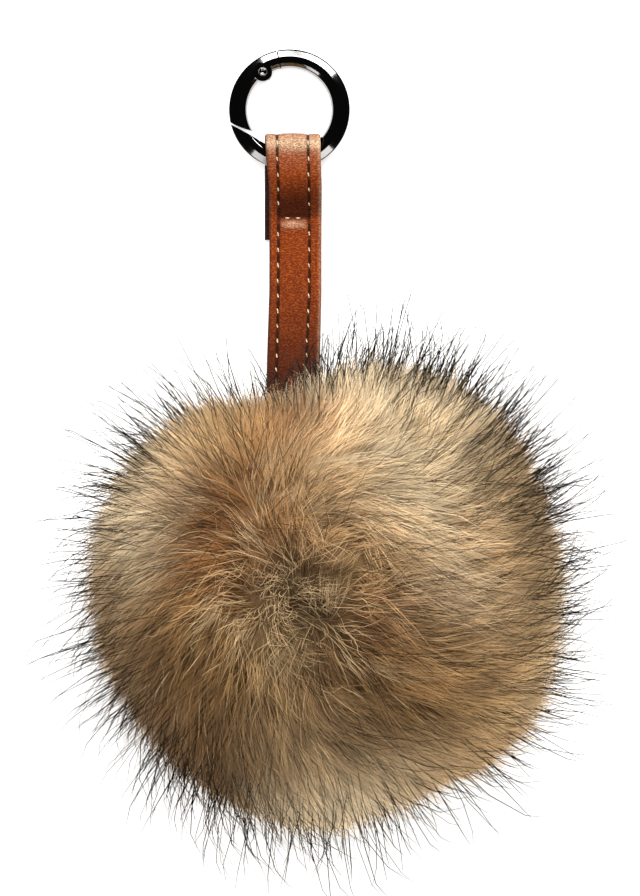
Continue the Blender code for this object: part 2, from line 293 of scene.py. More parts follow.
def sweep(name, rings, finish):
    """A body through rings of points (rows, columns, 3), with a flat cap at each end."""
    corners, counts = sweep_faces(*rings.shape[:2])
    made = mesh_piece(name, rings.reshape(-1, 3), corners, counts, finish)
    round_faces = np.arange(len(counts)) < len(counts) - 2
    made.data.polygons.foreach_set("use_smooth", round_faces)
    return made


def volume(piece):
    """Signed volume of a closed piece: positive where its faces point out."""
    mesh = piece.data
    mesh.calc_loop_triangles()
    points = np.empty(len(mesh.vertices) * 3, np.float32)
    mesh.vertices.foreach_get("co", points)
    corners = np.empty(len(mesh.loop_triangles) * 3, np.int32)
    mesh.loop_triangles.foreach_get("vertices", corners)
    a, b, c = np.moveaxis(points.reshape(-1, 3)[corners.reshape(-1, 3)], 1, 0)
    return float(np.einsum("ij,ij->i", a, np.cross(b, c)).sum() / 6)


def outward(piece):
    """Turns all faces of a closed piece to face out."""
    body = bmesh.new()
    body.from_mesh(piece.data)
    bmesh.ops.recalc_face_normals(body, faces=body.faces)
    body.to_mesh(piece.data)
    body.free()
    return piece


def smoothstep(low, high, value):
    """0 below low, 1 above high, and 3t^2 - 2t^3 between."""
    t = np.clip((value - low) / (high - low), 0, 1)
    return t * t * (3 - 2 * t)


def bell(distance, width, factor=1.0):
    """exp(-factor (distance / width)^2): 1 in the middle, falling to 0 all round."""
    return np.exp(-factor * (distance / width) ** 2)


def unit(vectors):
    """Vectors scaled to length 1."""
    return vectors / np.maximum(np.linalg.norm(vectors, axis=-1, keepdims=True), 1e-9)


# %% [markdown]
# ## The ball's form
# The ball is round but brushed: its fur reaches different distances in each direction,
# dips where the strap goes in and is pressed short on the table. The reach is a function
# of direction, so that skin and hair of every layer share one outline.

# %% Form of the fur
BALL_CENTRE = np.array([0.0, 0.0, 47.5]) * MM
CORE_RADIUS = 52 * MM
BALL_RADIUS = 66 * MM  # of the fur's surface, on which distances are measured
TOP_REACH = 66 * MM
FLOOR_CLEARANCE = 0.35 * MM
WHORLS = ((290, 592, 1.0), (240, 500, 0.32))  # picture x, picture y, mess
WHORL_DIP = 3.5 * MM
DIP_WIDTH, MESS_WIDTH = 0.17, 0.27  # of a whorl, on a ball of radius 1

# azimuth in degrees from +X, reach of the dense fur in mm
OUTLINE = (
    (0, 66.5), (15, 68.0), (45, 71.0), (60, 70.5), (74, 68.5), (88, 63.5),
    (100, 57.0), (110, 57.5), (122, 65.0), (140, 69.0), (165, 66.3), (182, 64.5),
    (198, 64.3), (212, 63.0), (228, 61.5), (242, 62.5), (256, 65.3), (268, 65.5),
    (280, 62.5), (298, 62.5), (315, 66.0), (332, 69.0), (346, 66.0), (360, 66.5),
)


def slow_noise(directions, frequency, seed):
    """Smooth noise over directions, mostly from -1 to 1: six plane waves summed, / 3.2."""
    chance = np.random.default_rng(seed)
    ways = unit(chance.normal(size=(6, 3)))
    phases = chance.uniform(0, TAU, 6)
    return np.sin(frequency * directions @ ways.T + phases).sum(axis=1) / 3.2


def on_ball(pixel_x, pixel_y, radius=BALL_RADIUS):
    """The unit direction of the fur's upper surface at a place in the picture."""
    x, y = plan(pixel_x, pixel_y)
    z = np.sqrt(max(radius**2 - x * x - y * y, 0))
    return unit(np.array([x, y, z]))


def chord(directions, *place):
    """Distance from a place in the picture to directions, on a ball of radius 1."""
    return np.linalg.norm(directions - on_ball(*place), axis=1)


def fur_reach(directions):
    """Distance from the ball's centre to the fur's surface, for unit directions.

    Round the side it is the outline's reach, overhead TOP_REACH, and between them the
    two are mixed by the squared cosine of the latitude. Noise moves it by 0.9 mm, and
    each whorl is a dip.
    """
    azimuth = np.degrees(np.arctan2(directions[:, 1], directions[:, 0])) % 360
    angles, reaches = np.array(OUTLINE).T
    side = 1 - directions[:, 2] ** 2
    reach = side * np.interp(azimuth, angles, reaches * MM) + (1 - side) * TOP_REACH
    reach += 0.9 * MM * slow_noise(directions, 5.0, 11)
    for x, y, strength in WHORLS:
        reach -= WHORL_DIP * strength * bell(chord(directions, x, y), DIP_WIDTH)
    return reach


def even_directions(count, seed):
    """Unit directions spread evenly on a sphere: a golden-angle spiral, slightly shaken."""
    chance = np.random.default_rng(seed)
    k = np.arange(count) + chance.uniform(0.05, 0.95, count)
    z = 1 - 2 * k / count
    turn = np.pi * (3 - np.sqrt(5)) * np.arange(count) + chance.normal(0, 0.01, count)
    ring = np.sqrt(np.maximum(0, 1 - z * z))
    return np.stack([ring * np.cos(turn), ring * np.sin(turn), z], axis=1)


def onto_floor(points):
    """Hair that would go under the table lies along it: lifted, and pushed outwards.

    From a depth d below FLOOR_CLEARANCE it is lifted by d + 1.2 mm (1 - exp(-d / 6 mm))
    and pushed out by 0.45 d.
    """
    below = np.maximum(0, FLOOR_CLEARANCE - points[..., 2])
    lifted = points.copy()
    lifted[..., 2] += below
    out = unit(points[..., :2] - BALL_CENTRE[:2])
    lifted[..., :2] += 0.45 * below[..., None] * out
    lifted[..., 2] += 1.2 * MM * (1 - np.exp(-below / (6 * MM)))
    return lifted


# %% [markdown]
# ## Brushing
# Seen from above the fur parts at two places and lies away from them, over the brow of
# the ball and down its sides. The brushing is a field of directions along the surface:
# each parting pushes away from itself, nearer ones more strongly. Here and there the
# real fur is combed across that field, so a short table turns the lay at those places.

# %% Flow of the fur
# picture x, picture y, push, softness, falloff: where the brushing starts from
PARTINGS = ((277, 579, 0.02, 0.077, 4.0), (247, 509, 1.19, 0.276, 0.5))
WIND = np.array([-0.18, 0.31, 0.0])
LAY_NOISE, LAY_DROOP = 0.20, 0.18
# picture x, picture y, width in mm, degrees against the clock: where the lay is turned
TURNS = (
    (95, 540, 22, 62), (215, 800, 24, 68), (352, 495, 14, -58),
    (310, 680, 16, 28), (530, 670, 24, 32), (110, 720, 16, 32),
    (165, 550, 12, 26), (180, 810, 14, 30), (330, 700, 40, 14),
)


def turned(lay, directions, angle):
    """The lay turned by an angle about the directions that the hair grows in."""
    angle = angle[:, None]
    return np.cos(angle) * lay + np.sin(angle) * np.cross(directions, lay)


def brushing(directions):
    """Unit vectors along the surface, the way that the fur lies.

    Each parting pushes away from itself with push / (softness + d)^falloff, a slight
    wind blows towards the strap, noise sways the lay, and it droops a little. At the end
    each of TURNS turns it by degrees * exp(-d^2 / 2 width^2), at a distance d.
    """
    pull = np.zeros_like(directions)
    for x, y, push, softness, falloff in PARTINGS:
        away = directions - on_ball(x, y)
        distance = np.linalg.norm(away, axis=1, keepdims=True)
        pull += push * unit(away) / (softness + distance) ** falloff
    pull += WIND
    size = np.linalg.norm(pull, axis=1, keepdims=True)
    sway = slow_noise(directions, 9.0, 5)[:, None]
    pull += LAY_NOISE * size * np.cross(directions, unit(pull)) * sway
    pull += LAY_DROOP * size * np.array([0, 0, -1.0])
    pull -= (pull * directions).sum(axis=1, keepdims=True) * directions
    angle = np.zeros(len(directions))
    for x, y, width, degrees in TURNS:
        distance = BALL_RADIUS * chord(directions, x, y)
        angle += np.radians(degrees) * bell(distance, width * MM, 0.5)
    return turned(unit(pull), directions, angle)


def mess(directions):
    """1 at the first whorl, where hair stands in all directions, to 0 further away."""
    amount = np.zeros(len(directions))
    for x, y, strength in WHORLS:
        amount = np.maximum(amount, strength * bell(chord(directions, x, y), MESS_WIDTH))
    return amount


def shaken_lay(roots, scatter, chance):
    """The brushing with each hair turned by chance, more in a mess.

    lay = (1 - 0.4 mess) brushing + (scatter + 0.35 mess) chance, scaled to length 1.
    """
    ways = chance.normal(size=roots.shape)
    ways = unit(ways - (ways * roots).sum(axis=1, keepdims=True) * roots)
    wild = mess(roots)[:, None]
    return unit((1 - 0.4 * wild) * brushing(roots) + (scatter + 0.35 * wild) * ways)


# %% [markdown]
# ## Colours of the fur
# The fur has soft blotches of cream and honey, with rust and umber between. A table
# places each blotch, with its width and one of a few named tones. A hair takes
# the mean of the tones near it, weighted by a bell curve.

# %% Tones
TONES = {
    "cream": srgb(255, 236, 200),
    "honey": srgb(244, 200, 136),
    "tan": srgb(216, 168, 106),
    "rust": srgb(150, 85, 27),
    "taupe": srgb(196, 161, 113),
    "umber": srgb(124, 89, 50),
    "ash": srgb(212, 182, 138),
    "soot": srgb(84, 66, 46),
}
# picture x, picture y, width in mm, strength, tone
BLOTCHES = (
    (405, 405, 17, 1.4, "cream"),
    (345, 425, 13, 0.8, "cream"),
    (335, 405, 8, 0.8, "tan"),
    (440, 440, 12, 0.8, "taupe"),
    (300, 450, 12, 0.9, "honey"),
    (395, 490, 13, 1.4, "cream"),
    (388, 450, 8, 1.0, "cream"),
    (190, 455, 9, 1.4, "honey"),
    (155, 440, 8, 1.0, "cream"),
    (388, 552, 8, 1.8, "honey"),
    (428, 552, 8, 0.9, "cream"),
    (480, 500, 13, 1.0, "ash"),
    (525, 505, 10, 1.2, "ash"),
    (535, 610, 12, 2.2, "ash"),
    (530, 690, 10, 2.4, "ash"),
    (535, 535, 9, 1.2, "ash"),
    (330, 510, 9, 0.9, "tan"),
    (450, 568, 12, 1.4, "cream"),
    (520, 565, 12, 1.0, "tan"),
    (485, 555, 9, 1.2, "tan"),
    (378, 592, 9, 2.2, "rust"),
    (345, 560, 6, 1.0, "honey"),
    (240, 404, 8, 1.6, "umber"),
    (190, 410, 8, 1.0, "taupe"),
    (288, 404, 8, 2.0, "rust"),
    (205, 430, 11, 1.1, "honey"),
    (150, 460, 13, 1.3, "ash"),
    (145, 500, 11, 3.6, "cream"),
    (238, 462, 9, 2.0, "rust"),
    (232, 500, 11, 4.2, "rust"),
    (244, 550, 9, 2.8, "rust"),
    (194, 508, 7, 1.4, "umber"),
    (262, 455, 10, 0.9, "tan"),
    (262, 525, 7, 1.0, "tan"),
    (125, 540, 13, 1.2, "ash"),
    (180, 560, 11, 1.0, "taupe"),
    (200, 598, 9, 1.8, "tan"),
    (200, 500, 7, 1.2, "umber"),
    (281, 574, 4, 2.2, "soot"),
    (304, 588, 6, 2.2, "soot"),
    (278, 612, 4, 2.0, "soot"),
    (298, 622, 4, 1.8, "soot"),
    (255, 602, 3, 1.6, "soot"),
    (266, 600, 3, 2.0, "ash"),
    (264, 645, 5, 1.8, "ash"),
    (288, 652, 4, 1.8, "ash"),
    (350, 540, 6, 1.2, "umber"),
    (120, 640, 14, 1.0, "taupe"),
    (192, 652, 9, 2.8, "umber"),
    (170, 690, 17, 5.0, "umber"),
    (225, 735, 12, 1.6, "umber"),
    (290, 660, 9, 1.2, "taupe"),
    (245, 645, 9, 2.4, "tan"),
    (300, 750, 14, 1.3, "ash"),
    (262, 745, 9, 1.0, "taupe"),
    (355, 694, 13, 2.0, "umber"),
    (428, 712, 11, 0.9, "umber"),
    (432, 650, 9, 1.8, "tan"),
    (388, 655, 10, 1.0, "umber"),
    (335, 655, 9, 0.9, "umber"),
    (485, 605, 12, 1.4, "taupe"),
    (485, 655, 11, 0.9, "umber"),
    (510, 692, 12, 1.5, "honey"),
    (335, 805, 14, 1.4, "cream"),
    (395, 785, 12, 1.4, "ash"),
    (460, 745, 12, 1.4, "taupe"),
)
HIDDEN_BLOTCHES = 26  # on the underside, placed by chance in the same tones
HIDDEN_TONES = ["cream", "honey", "tan", "taupe", "umber", "taupe", "ash"]


def blotch_table():
    """Directions, widths, strengths and tones of all blotches, seen and hidden."""
    chance = np.random.default_rng(21)
    rows = [(on_ball(x, y), w * MM, s, TONES[tone]) for x, y, w, s, tone in BLOTCHES]
    for direction in even_directions(2 * HIDDEN_BLOTCHES, 3):
        if direction[2] < -0.1:
            width = chance.uniform(11, 16) * MM
            rows.append((direction, width, 1.0, TONES[chance.choice(HIDDEN_TONES)]))
    return [np.array(column) for column in zip(*rows)]


def fur_tone(directions):
    """Mean tone of the blotches round each direction, weighted by exp(-d^2 / 2w^2)."""
    places, widths, strengths, tones = blotch_table()
    noise = [slow_noise(directions, 14, seed) for seed in (31, 32, 33)]
    shaken = unit(directions + 0.05 * np.stack(noise, axis=1))
    distance = BALL_RADIUS * np.linalg.norm(shaken[:, None] - places[None], axis=2)
    weight = strengths * bell(distance, widths, 0.5) + 1e-6
    return (weight @ tones) / weight.sum(axis=1, keepdims=True)


# %% [markdown]
# ## Hair shader
# A hair is darker at its root, where no light comes in, and may end in a dark tip. Each
# point of a hair carries its tone, how far along the hair it is, and a chance number that
# is the same for the whole hair. Guard hair also carries how dark its tip gets.

# %% Hair material
SOCKETS = {
    "Tone": ("NodeSocketColor", (0.5, 0.35, 0.2, 1)),
    "Along": ("NodeSocketFloat", 0.5),
    "Chance": ("NodeSocketFloat", 0.5),
    "Root shade": ("NodeSocketFloat", 0.4),
    "Spread": ("NodeSocketFloat", 0.3),
    "Tip colour": ("NodeSocketColor", (0.02, 0.015, 0.01, 1)),
    "Tip start": ("NodeSocketFloat", 0.5),
    "Tipped share": ("NodeSocketFloat", 0.5),
    "Tip strength": ("NodeSocketFloat", 1.0),
}
ROOT_LENGTH, TIP_LENGTH = 0.75, 0.3  # shares of a hair that the two changes take
WARM_TONE, WARMTH = (0.42, 0.27, 0.13, 1), 0.22
banding, group_in, group_out = node_group(
    "hair_banding", SOCKETS, {"Colour": ("NodeSocketColor", None)}
)
value = group_in.outputs

# brightness: 1 - (1 - along) * root shade, times 1 + (2 chance - 1) * spread
root = without(banding, between(banding, value["Along"], 0.0, ROOT_LENGTH))
lit = without(banding, times(banding, root, value["Root shade"]))
swing = times(banding, maths(banding, "SUBTRACT", value["Chance"], 0.5), 2.0)
spread = maths(banding, "ADD", 1.0, times(banding, swing, value["Spread"]))
lit = times(banding, lit, spread)
toned = {0: value["Tone"], "Scale": lit}
scaled = add_node(banding, "ShaderNodeVectorMath", toned, operation="SCALE")

# streaks of a warmer tone along each hair
phase = maths(banding, "ADD", times(banding, value["Chance"], 97.0), value["Along"])
streaks = {"W": phase, "Scale": 3.0, "Detail": 1.0}
streak = add_node(banding, "ShaderNodeTexNoise", streaks, noise_dimensions="1D")
warmth = times(banding, streak.outputs["Fac"], WARMTH)
warmed = mix_colour(banding, warmth, scaled.outputs[0], WARM_TONE)

# the tip, on the share of the hairs that has one
tipped = maths(banding, "LESS_THAN", value["Chance"], value["Tipped share"])
tip_end = maths(banding, "ADD", value["Tip start"], TIP_LENGTH)
tip = times(banding, between(banding, value["Along"], value["Tip start"], tip_end), tipped)
tip = times(banding, tip, value["Tip strength"])
feed(banding, group_out, {"Colour": mix_colour(banding, tip, warmed, value["Tip colour"])})


def hair_material(name, values, roughness=0.5, gloss=0.18, dark_tips=False):
    """A fur material: the tone and values on the hair's points through the banding."""
    made, tree, shader = new_material(name)
    bands = add_node(tree, "ShaderNodeGroup", node_tree=banding)
    riders = {
        "Tone": rider(tree, "hair_tone", "Color"),
        "Along": rider(tree, "hair_along"),
        "Chance": rider(tree, "hair_chance"),
    }
    if dark_tips:
        riders["Tip strength"] = rider(tree, "hair_dark")
    feed(tree, bands, {**riders, **values})
    look = {"Base Color": bands.outputs["Colour"], "Roughness": roughness}
    feed(tree, shader, {**look, "Specular IOR Level": gloss})
    return made


under_look = {
    "Root shade": 0.60,
    "Spread": 0.22,
    "Tip colour": paint(70, 50, 33),
    "Tipped share": 0.04,
}
top_look = {
    "Root shade": 0.58,
    "Spread": 0.34,
    "Tip colour": paint(20, 16, 14),
    "Tip start": 0.62,
    "Tipped share": 0.05,
}
guard_look = {
    "Root shade": 0.3,
    "Spread": 0.3,
    "Tip colour": paint(20, 16, 14),
    "Tip start": 0.08,
    "Tipped share": 1.01,
}
under_fur = hair_material("under_fur", under_look, roughness=0.7)
top_fur = hair_material("top_fur", top_look)
guard_fur = hair_material("guard_fur", guard_look, roughness=0.6, gloss=0.02, dark_tips=True)
print("fur materials:", under_fur.name, top_fur.name, guard_fur.name)

# %% [markdown]
# ## The strap's route
# The strap comes first because the hair has to part round it. It is one strip of leather:
# a tab on the table, a fold round the ring, and a front ply that drops from the ring to
# the cross seam and then rises into the fur. The route repeats the frame's own sizes.

# %% Strap route
STRAP_X = -9.2 * MM
STRAP_WIDTH = 15.8 * MM
STRAP_THICKNESS = 1.4 * MM
TAB_END_Y = 100.8 * MM
SEAM_Y = 106.6 * MM
FOLD_Y = 130.9 * MM
FOLD_CORNER = 2.2 * MM
CREST_Y = 121.7 * MM
RISE_Y = 104.0 * MM
ROOT_SLOPE = np.radians(30)
ROOT_DISTANCE = 49 * MM
SEAM_Z = 1.5 * STRAP_THICKNESS + 0.3 * MM
CREST_Z = 1.5 * STRAP_THICKNESS + 4.6 * MM + 0.6 * MM
ROOT_Y = ROOT_DISTANCE * np.cos(ROOT_SLOPE)
ROOT_Z = BALL_CENTRE[2] - ROOT_DISTANCE * np.sin(ROOT_SLOPE)
RISE_POWER = np.tan(ROOT_SLOPE) * (RISE_Y - ROOT_Y) / (ROOT_Z - SEAM_Z)
HAIR_GAP = 0.5 * MM  # between the strap and the hair
FOOT_Y, FOOT_SLOPE, DRAWN_BACK = 59.5 * MM, 0.5, 0.6


def front_ply_z(y):
    """Height of the front ply's middle: an S from crest to seam, level, then a power rise."""
    crest = SEAM_Z + (CREST_Z - SEAM_Z) * smoothstep(SEAM_Y, CREST_Y, y)
    share = np.clip((RISE_Y - y) / (RISE_Y - ROOT_Y), 0, 1)
    return np.where(y > RISE_Y, crest, SEAM_Z + (ROOT_Z - SEAM_Z) * share**RISE_POWER)


def clear_of_strap(paths):
    """Moves hair out of the strap: up if the hair starts above it, down if below.

    Hair that lies over the strap is drawn back to the foot by DRAWN_BACK of the way. The
    foot is the line y = FOOT_Y + FOOT_SLOPE * (x - the strap's left edge).
    """
    x, y, z = np.moveaxis(paths, -1, 0)
    middle = front_ply_z(np.maximum(y, ROOT_Y))
    above = z[:, :1] > ROOT_Z - 4 * MM
    beside = np.abs(x - STRAP_X) - STRAP_WIDTH / 2
    near = 1 - smoothstep(0.2 * MM, 1.5 * MM, beside)
    near = near * smoothstep(ROOT_Y - 4 * MM, ROOT_Y, y) * (y < SEAM_Y)
    room = STRAP_THICKNESS / 2 + HAIR_GAP
    wanted = np.where(above, np.maximum(z, middle + room), np.minimum(z, middle - room))
    moved = paths.copy()
    moved[..., 2] = z + near * (wanted - z)
    foot = FOOT_Y + FOOT_SLOPE * (x - STRAP_X + STRAP_WIDTH / 2)
    moved[..., 1] -= DRAWN_BACK * near * above * np.maximum(y - foot, 0)
    return moved


print("strap enters the fur at y, z in mm:", ROOT_Y / MM, ROOT_Z / MM)

# %% [markdown]
# ## Growing hair
# A hair starts in the core and ends at the fur's surface, further along the brushing. It
# travels on an arc round the ball's centre while its distance from the centre grows, so
# that long hair lies over the ball's brow and doesn't dive into it. Neighbours share a
# clump and lean to its middle, which gives the fur its locks. Each clump has three chance
# numbers: one lifts its tips, one lengthens its arcs and one turns its lay.

# %% Strand paths
CLUMPS = 2300
CLUMP_LIFT, CLUMP_TRAVEL = 0.9 * MM, 0.28


def hair_paths(roots, lay, rows, tips, travel, start):
    """Points (hair, row, 3): radius and angle both grow along the hair.

    radius(t) = start + (tip - start) * (1 - (1 - t)^1.7), angle(t) = travel * t^1.3,
    and the hair turns from its root direction towards its lay.
    """
    t = rows[None, :]
    radius = start[:, None] + (tips - start)[:, None] * (1 - (1 - t) ** 1.7)
    angle = travel[:, None] * t**1.3
    way = np.cos(angle)[..., None] * roots[:, None] + np.sin(angle)[..., None] * lay[:, None]
    return BALL_CENTRE + radius[..., None] * way


def clump_of(roots, centres):
    """Index of the nearest clump centre of each root, found in slices to save memory."""
    return np.concatenate(
        [np.argmax(part @ centres.T, axis=1) for part in np.array_split(roots, 24)]
    )


def grow(layer, count, seed, reach_change, thin=None):
    """Roots, paths, chance numbers and clumps of one layer of hair.

    reach_change(roots, chance) gives how far past the fur's surface each tip stands. Low
    on the ball the hair is thinned and shortened, since the ball rests there. A hair
    leans to its clump's middle by clumping * chance * t^1.6 and frizzes as a sine wave
    whose size grows as t^1.2.
    """
    chance = np.random.default_rng(seed)
    roots = even_directions(count, seed)
    keep = chance.random(count) < np.interp(roots[:, 2], [-0.75, -0.35], [0.45, 1.0])
    if thin is not None:
        keep &= chance.random(count) < thin(roots)
    roots = roots[keep]
    count = len(roots)
    rows = np.array(layer["rows"])
    low = np.interp(roots[:, 2], [-1, -0.8, -0.45, -0.15], [0.45, 0.6, 0.85, 1])
    centres = even_directions(CLUMPS, 77)
    clump = clump_of(roots, centres)
    clump_chance = np.random.default_rng(78).normal(0, 1, (3, CLUMPS))
    wild = mess(centres)
    lift = CLUMP_LIFT * (1 + 1.3 * wild) * clump_chance[0]
    sway = (layer["sway"] + 0.75 * wild) * clump_chance[2]
    surface = fur_reach(roots)
    tips = surface + reach_change(roots, chance) + lift[clump]
    tips = CORE_RADIUS + (tips - CORE_RADIUS) * low
    start = CORE_RADIUS + layer["start"] * (surface - CORE_RADIUS) * low
    travel = chance.uniform(*layer["travel"], count) * (1 + layer["lie"] * roots[:, 2])
    longer = np.clip(1 + CLUMP_TRAVEL * clump_chance[1][clump], 0.4, 1.8)
    travel *= longer * (1 - 0.55 * mess(roots))
    lay = turned(shaken_lay(roots, layer["scatter"], chance), roots, sway[clump])
    paths = hair_paths(roots, lay, rows, tips, travel, start)
    middle_tips = np.maximum((fur_reach(centres) + lift)[clump], tips)
    middle_lay = turned(brushing(centres), centres, sway)[clump]
    middles = hair_paths(centres[clump], middle_lay, rows, middle_tips, travel, start)
    lean = layer["clumping"] * chance.uniform(0.3, 1.2, count)
    paths += (lean[:, None] * rows[None, :] ** 1.6)[..., None] * (middles - paths)
    frizz = layer["frizz"] * (1 + 1.3 * mess(roots))[:, None]
    for k in range(3):
        phase = chance.uniform(0, TAU, (count, 1))
        turns = chance.uniform(3.0, 10.0, (count, 1))
        size = frizz * chance.exponential(1, (count, 1)) * rows[None, :] ** 1.2
        paths[..., k] += size * np.sin(phase + turns * rows[None, :])
    paths = clear_of_strap(onto_floor(paths))
    paths[..., 2] = np.maximum(paths[..., 2], FLOOR_CLEARANCE)
    return roots, paths, chance.random(count), clump


def cell_corners(count):
    """Places of each hair's own cell in a square texture: low corner and size."""
    across = int(np.ceil(np.sqrt(count)))
    k = np.arange(count)
    return np.stack([k % across, k // across], axis=1) / across, 1 / across


def spike_faces(rows):
    """Corners and texture places of one hair's triangles, from root cap to tip.

    The last row is a single point, and each row before it has three points.
    """
    rings = len(rows) - 1
    heights = 0.06 + 0.9 * np.array(rows)
    faces = [(0, 2, 1)]
    uvs = [((0.1, 0.02), (0.9, 0.02), (0.5, 0.12))]
    for ring in range(rings - 1):
        low, high = heights[ring], heights[ring + 1]
        for k in range(3):
            a, b = 3 * ring + k, 3 * ring + (k + 1) % 3
            faces += [(a, b, b + 3), (a, b + 3, a + 3)]
            uvs += [((0.1, low), (0.9, low), (0.9, high))]
            uvs += [((0.1, low), (0.9, high), (0.1, high))]
    last = 3 * (rings - 1)
    for k in range(3):
        faces.append((last + k, last + (k + 1) % 3, 3 * rings))
        uvs.append(((0.1, heights[-2]), (0.9, heights[-2]), (0.5, heights[-1])))
    return np.array(faces), np.array(uvs)


def strands(name, layer, paths, width, finish, tone, chance_number):
    """All hairs of a layer as one mesh of closed three-sided spikes.

    Each row of a path but the last becomes a triangle of points across the hair, and the
    last a point. The width falls as 1 - t^taper.
    """
    count, steps, _ = paths.shape
    rings = steps - 1
    rows = np.array(layer["rows"])
    along = unit(np.gradient(paths, axis=1))
    side = unit(np.cross(along, np.array([0.31, 0.17, 0.94])))
    up = np.cross(along, side)
    turns = TAU * np.arange(3) / 3
    size = width[:, None] / 2 * (1 - rows[None, :rings] ** layer["taper"])
    around = (
        np.cos(turns)[None, None, :, None] * side[:, :rings, None]
        + np.sin(turns)[None, None, :, None] * up[:, :rings, None]
    )
    ring_points = paths[:, :rings, None] + size[..., None, None] * around
    points = np.concatenate([ring_points.reshape(count, -1, 3), paths[:, -1:]], axis=1)
    stride = 3 * rings + 1
    faces, uvs = spike_faces(rows)
    corners = (faces[None] + stride * np.arange(count)[:, None, None]).ravel()
    counts = np.full(count * len(faces), 3)
    made = mesh_piece(name, points.reshape(-1, 3), corners, counts, finish)
    low_corner, cell = cell_corners(count)
    places = (low_corner[:, None, None] + cell * uvs[None]).astype(np.float32)
    made.data.uv_layers.new(name="OFBake").data.foreach_set("uv", places.ravel())
    row_of = np.append(np.repeat(rows[:rings], 3), 1.0)
    attribute(made, "hair_along", np.tile(row_of, count))
    attribute(made, "hair_chance", np.repeat(chance_number, stride))
    attribute(made, "hair_tone", np.repeat(tone, stride, axis=0), "FLOAT_COLOR")
    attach(made, "charm")
    print(name, count, "hairs,", len(made.data.polygons), "triangles")
    return made


# %% [markdown]
# ## The skin under the pile
# Between the hairs one never sees white: the backing and the imported wool are there. A
# closed lumpy skin just under the surface stands for both. It is a grid of latitude and
# longitude pushed out to most of the fur's reach, flat where the ball stands, and drawn
# in to the core where the strap enters. Its tone carries painted shade: it is darker than
# the fur's, darker still at the whorls, and takes the hairs' root shade.

# %% Skin
SKIN_ROWS, SKIN_COLUMNS = 72, 128
SKIN_DEPTH, TUFT_HEIGHT = 0.55, 0.8 * MM  # share of the pile under the skin, its lumps
# painted shade between the hairs: the share of the fur's tone that the skin keeps, and the place
# along a hair whose root shade it takes
SKIN_IN_SHADE, SKIN_ALONG = 0.62, 0.3
column = np.arange(SKIN_COLUMNS)
next_column = (column + 1) % SKIN_COLUMNS


def skin_points():
    """Grid over the ball: row gives the latitude, column the azimuth; poles are closed."""
    polar = np.linspace(0, np.pi, SKIN_ROWS)[:, None]
    turn = TAU * column[None, :] / SKIN_COLUMNS
    level = np.cos(polar) + 0 * turn
    ways = np.stack([np.sin(polar) * np.cos(turn), np.sin(polar) * np.sin(turn), level], -1)
    ways = ways.reshape(-1, 3)
    tuft = slow_noise(ways, 22, 41) + 0.6 * slow_noise(ways, 45, 42)
    reach = CORE_RADIUS + SKIN_DEPTH * (fur_reach(ways) - CORE_RADIUS) + TUFT_HEIGHT * tuft
    low = np.interp(ways[:, 2], [-1, -0.5, -0.1], [0.9, 0.93, 1])
    points = BALL_CENTRE + (reach * low)[:, None] * ways
    points = points.reshape(SKIN_ROWS, SKIN_COLUMNS, 3)
    points[..., 2] = np.maximum(points[..., 2], 0.05 * MM)
    strap_side = (np.abs(points[..., 0] - STRAP_X) < 11 * MM) & (points[..., 1] > 30 * MM)
    strap_side &= np.abs(points[..., 2] - ROOT_Z) < 14 * MM
    inward = unit(points - BALL_CENTRE)
    core = BALL_CENTRE + (ROOT_DISTANCE - 1.0 * MM) * inward
    return np.where(strap_side[..., None], core, points)


def skin_faces():
    """Corners of the faces and corners a face: quads, then a fan at each pole.

    The points are those of the inner rows and then the upper and the lower pole.
    """
    rows = SKIN_ROWS - 2
    quads = grid_faces(rows, SKIN_COLUMNS)[:, ::-1]
    pole = np.full(SKIN_COLUMNS, rows * SKIN_COLUMNS)
    last = (rows - 1) * SKIN_COLUMNS
    upper_fan = np.stack([column, next_column, pole], axis=1)
    lower_fan = np.stack([next_column + last, column + last, pole + 1], axis=1)
    corners = np.concatenate([quads.ravel(), upper_fan.ravel(), lower_fan.ravel()])
    return corners, [4] * len(quads) + [3] * (2 * SKIN_COLUMNS)


grid = skin_points()
skin_all = np.concatenate([grid[1:-1].reshape(-1, 3), grid[:1, 0], grid[-1:, 0]])
fur_skin = mesh_piece("fur_skin", skin_all, *skin_faces(), under_fur)
skin_ways = unit(skin_all - BALL_CENTRE)
# painted shade: the skin is darker than the fur, and darker still in the mess of a whorl
shaded_skin_tone = (SKIN_IN_SHADE * (1 - 0.45 * mess(skin_ways)))[:, None] * fur_tone(skin_ways)
attribute(fur_skin, "hair_tone", shaded_skin_tone, "FLOAT_COLOR")
attribute(fur_skin, "hair_along", np.full(len(skin_all), SKIN_ALONG))
attribute(fur_skin, "hair_chance", 0.5 + 0.3 * slow_noise(skin_ways, 60, 43))
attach(fur_skin, "charm")
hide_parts("fur_ball")
print("skin volume in cm3:", round(volume(fur_skin) * 1e6))
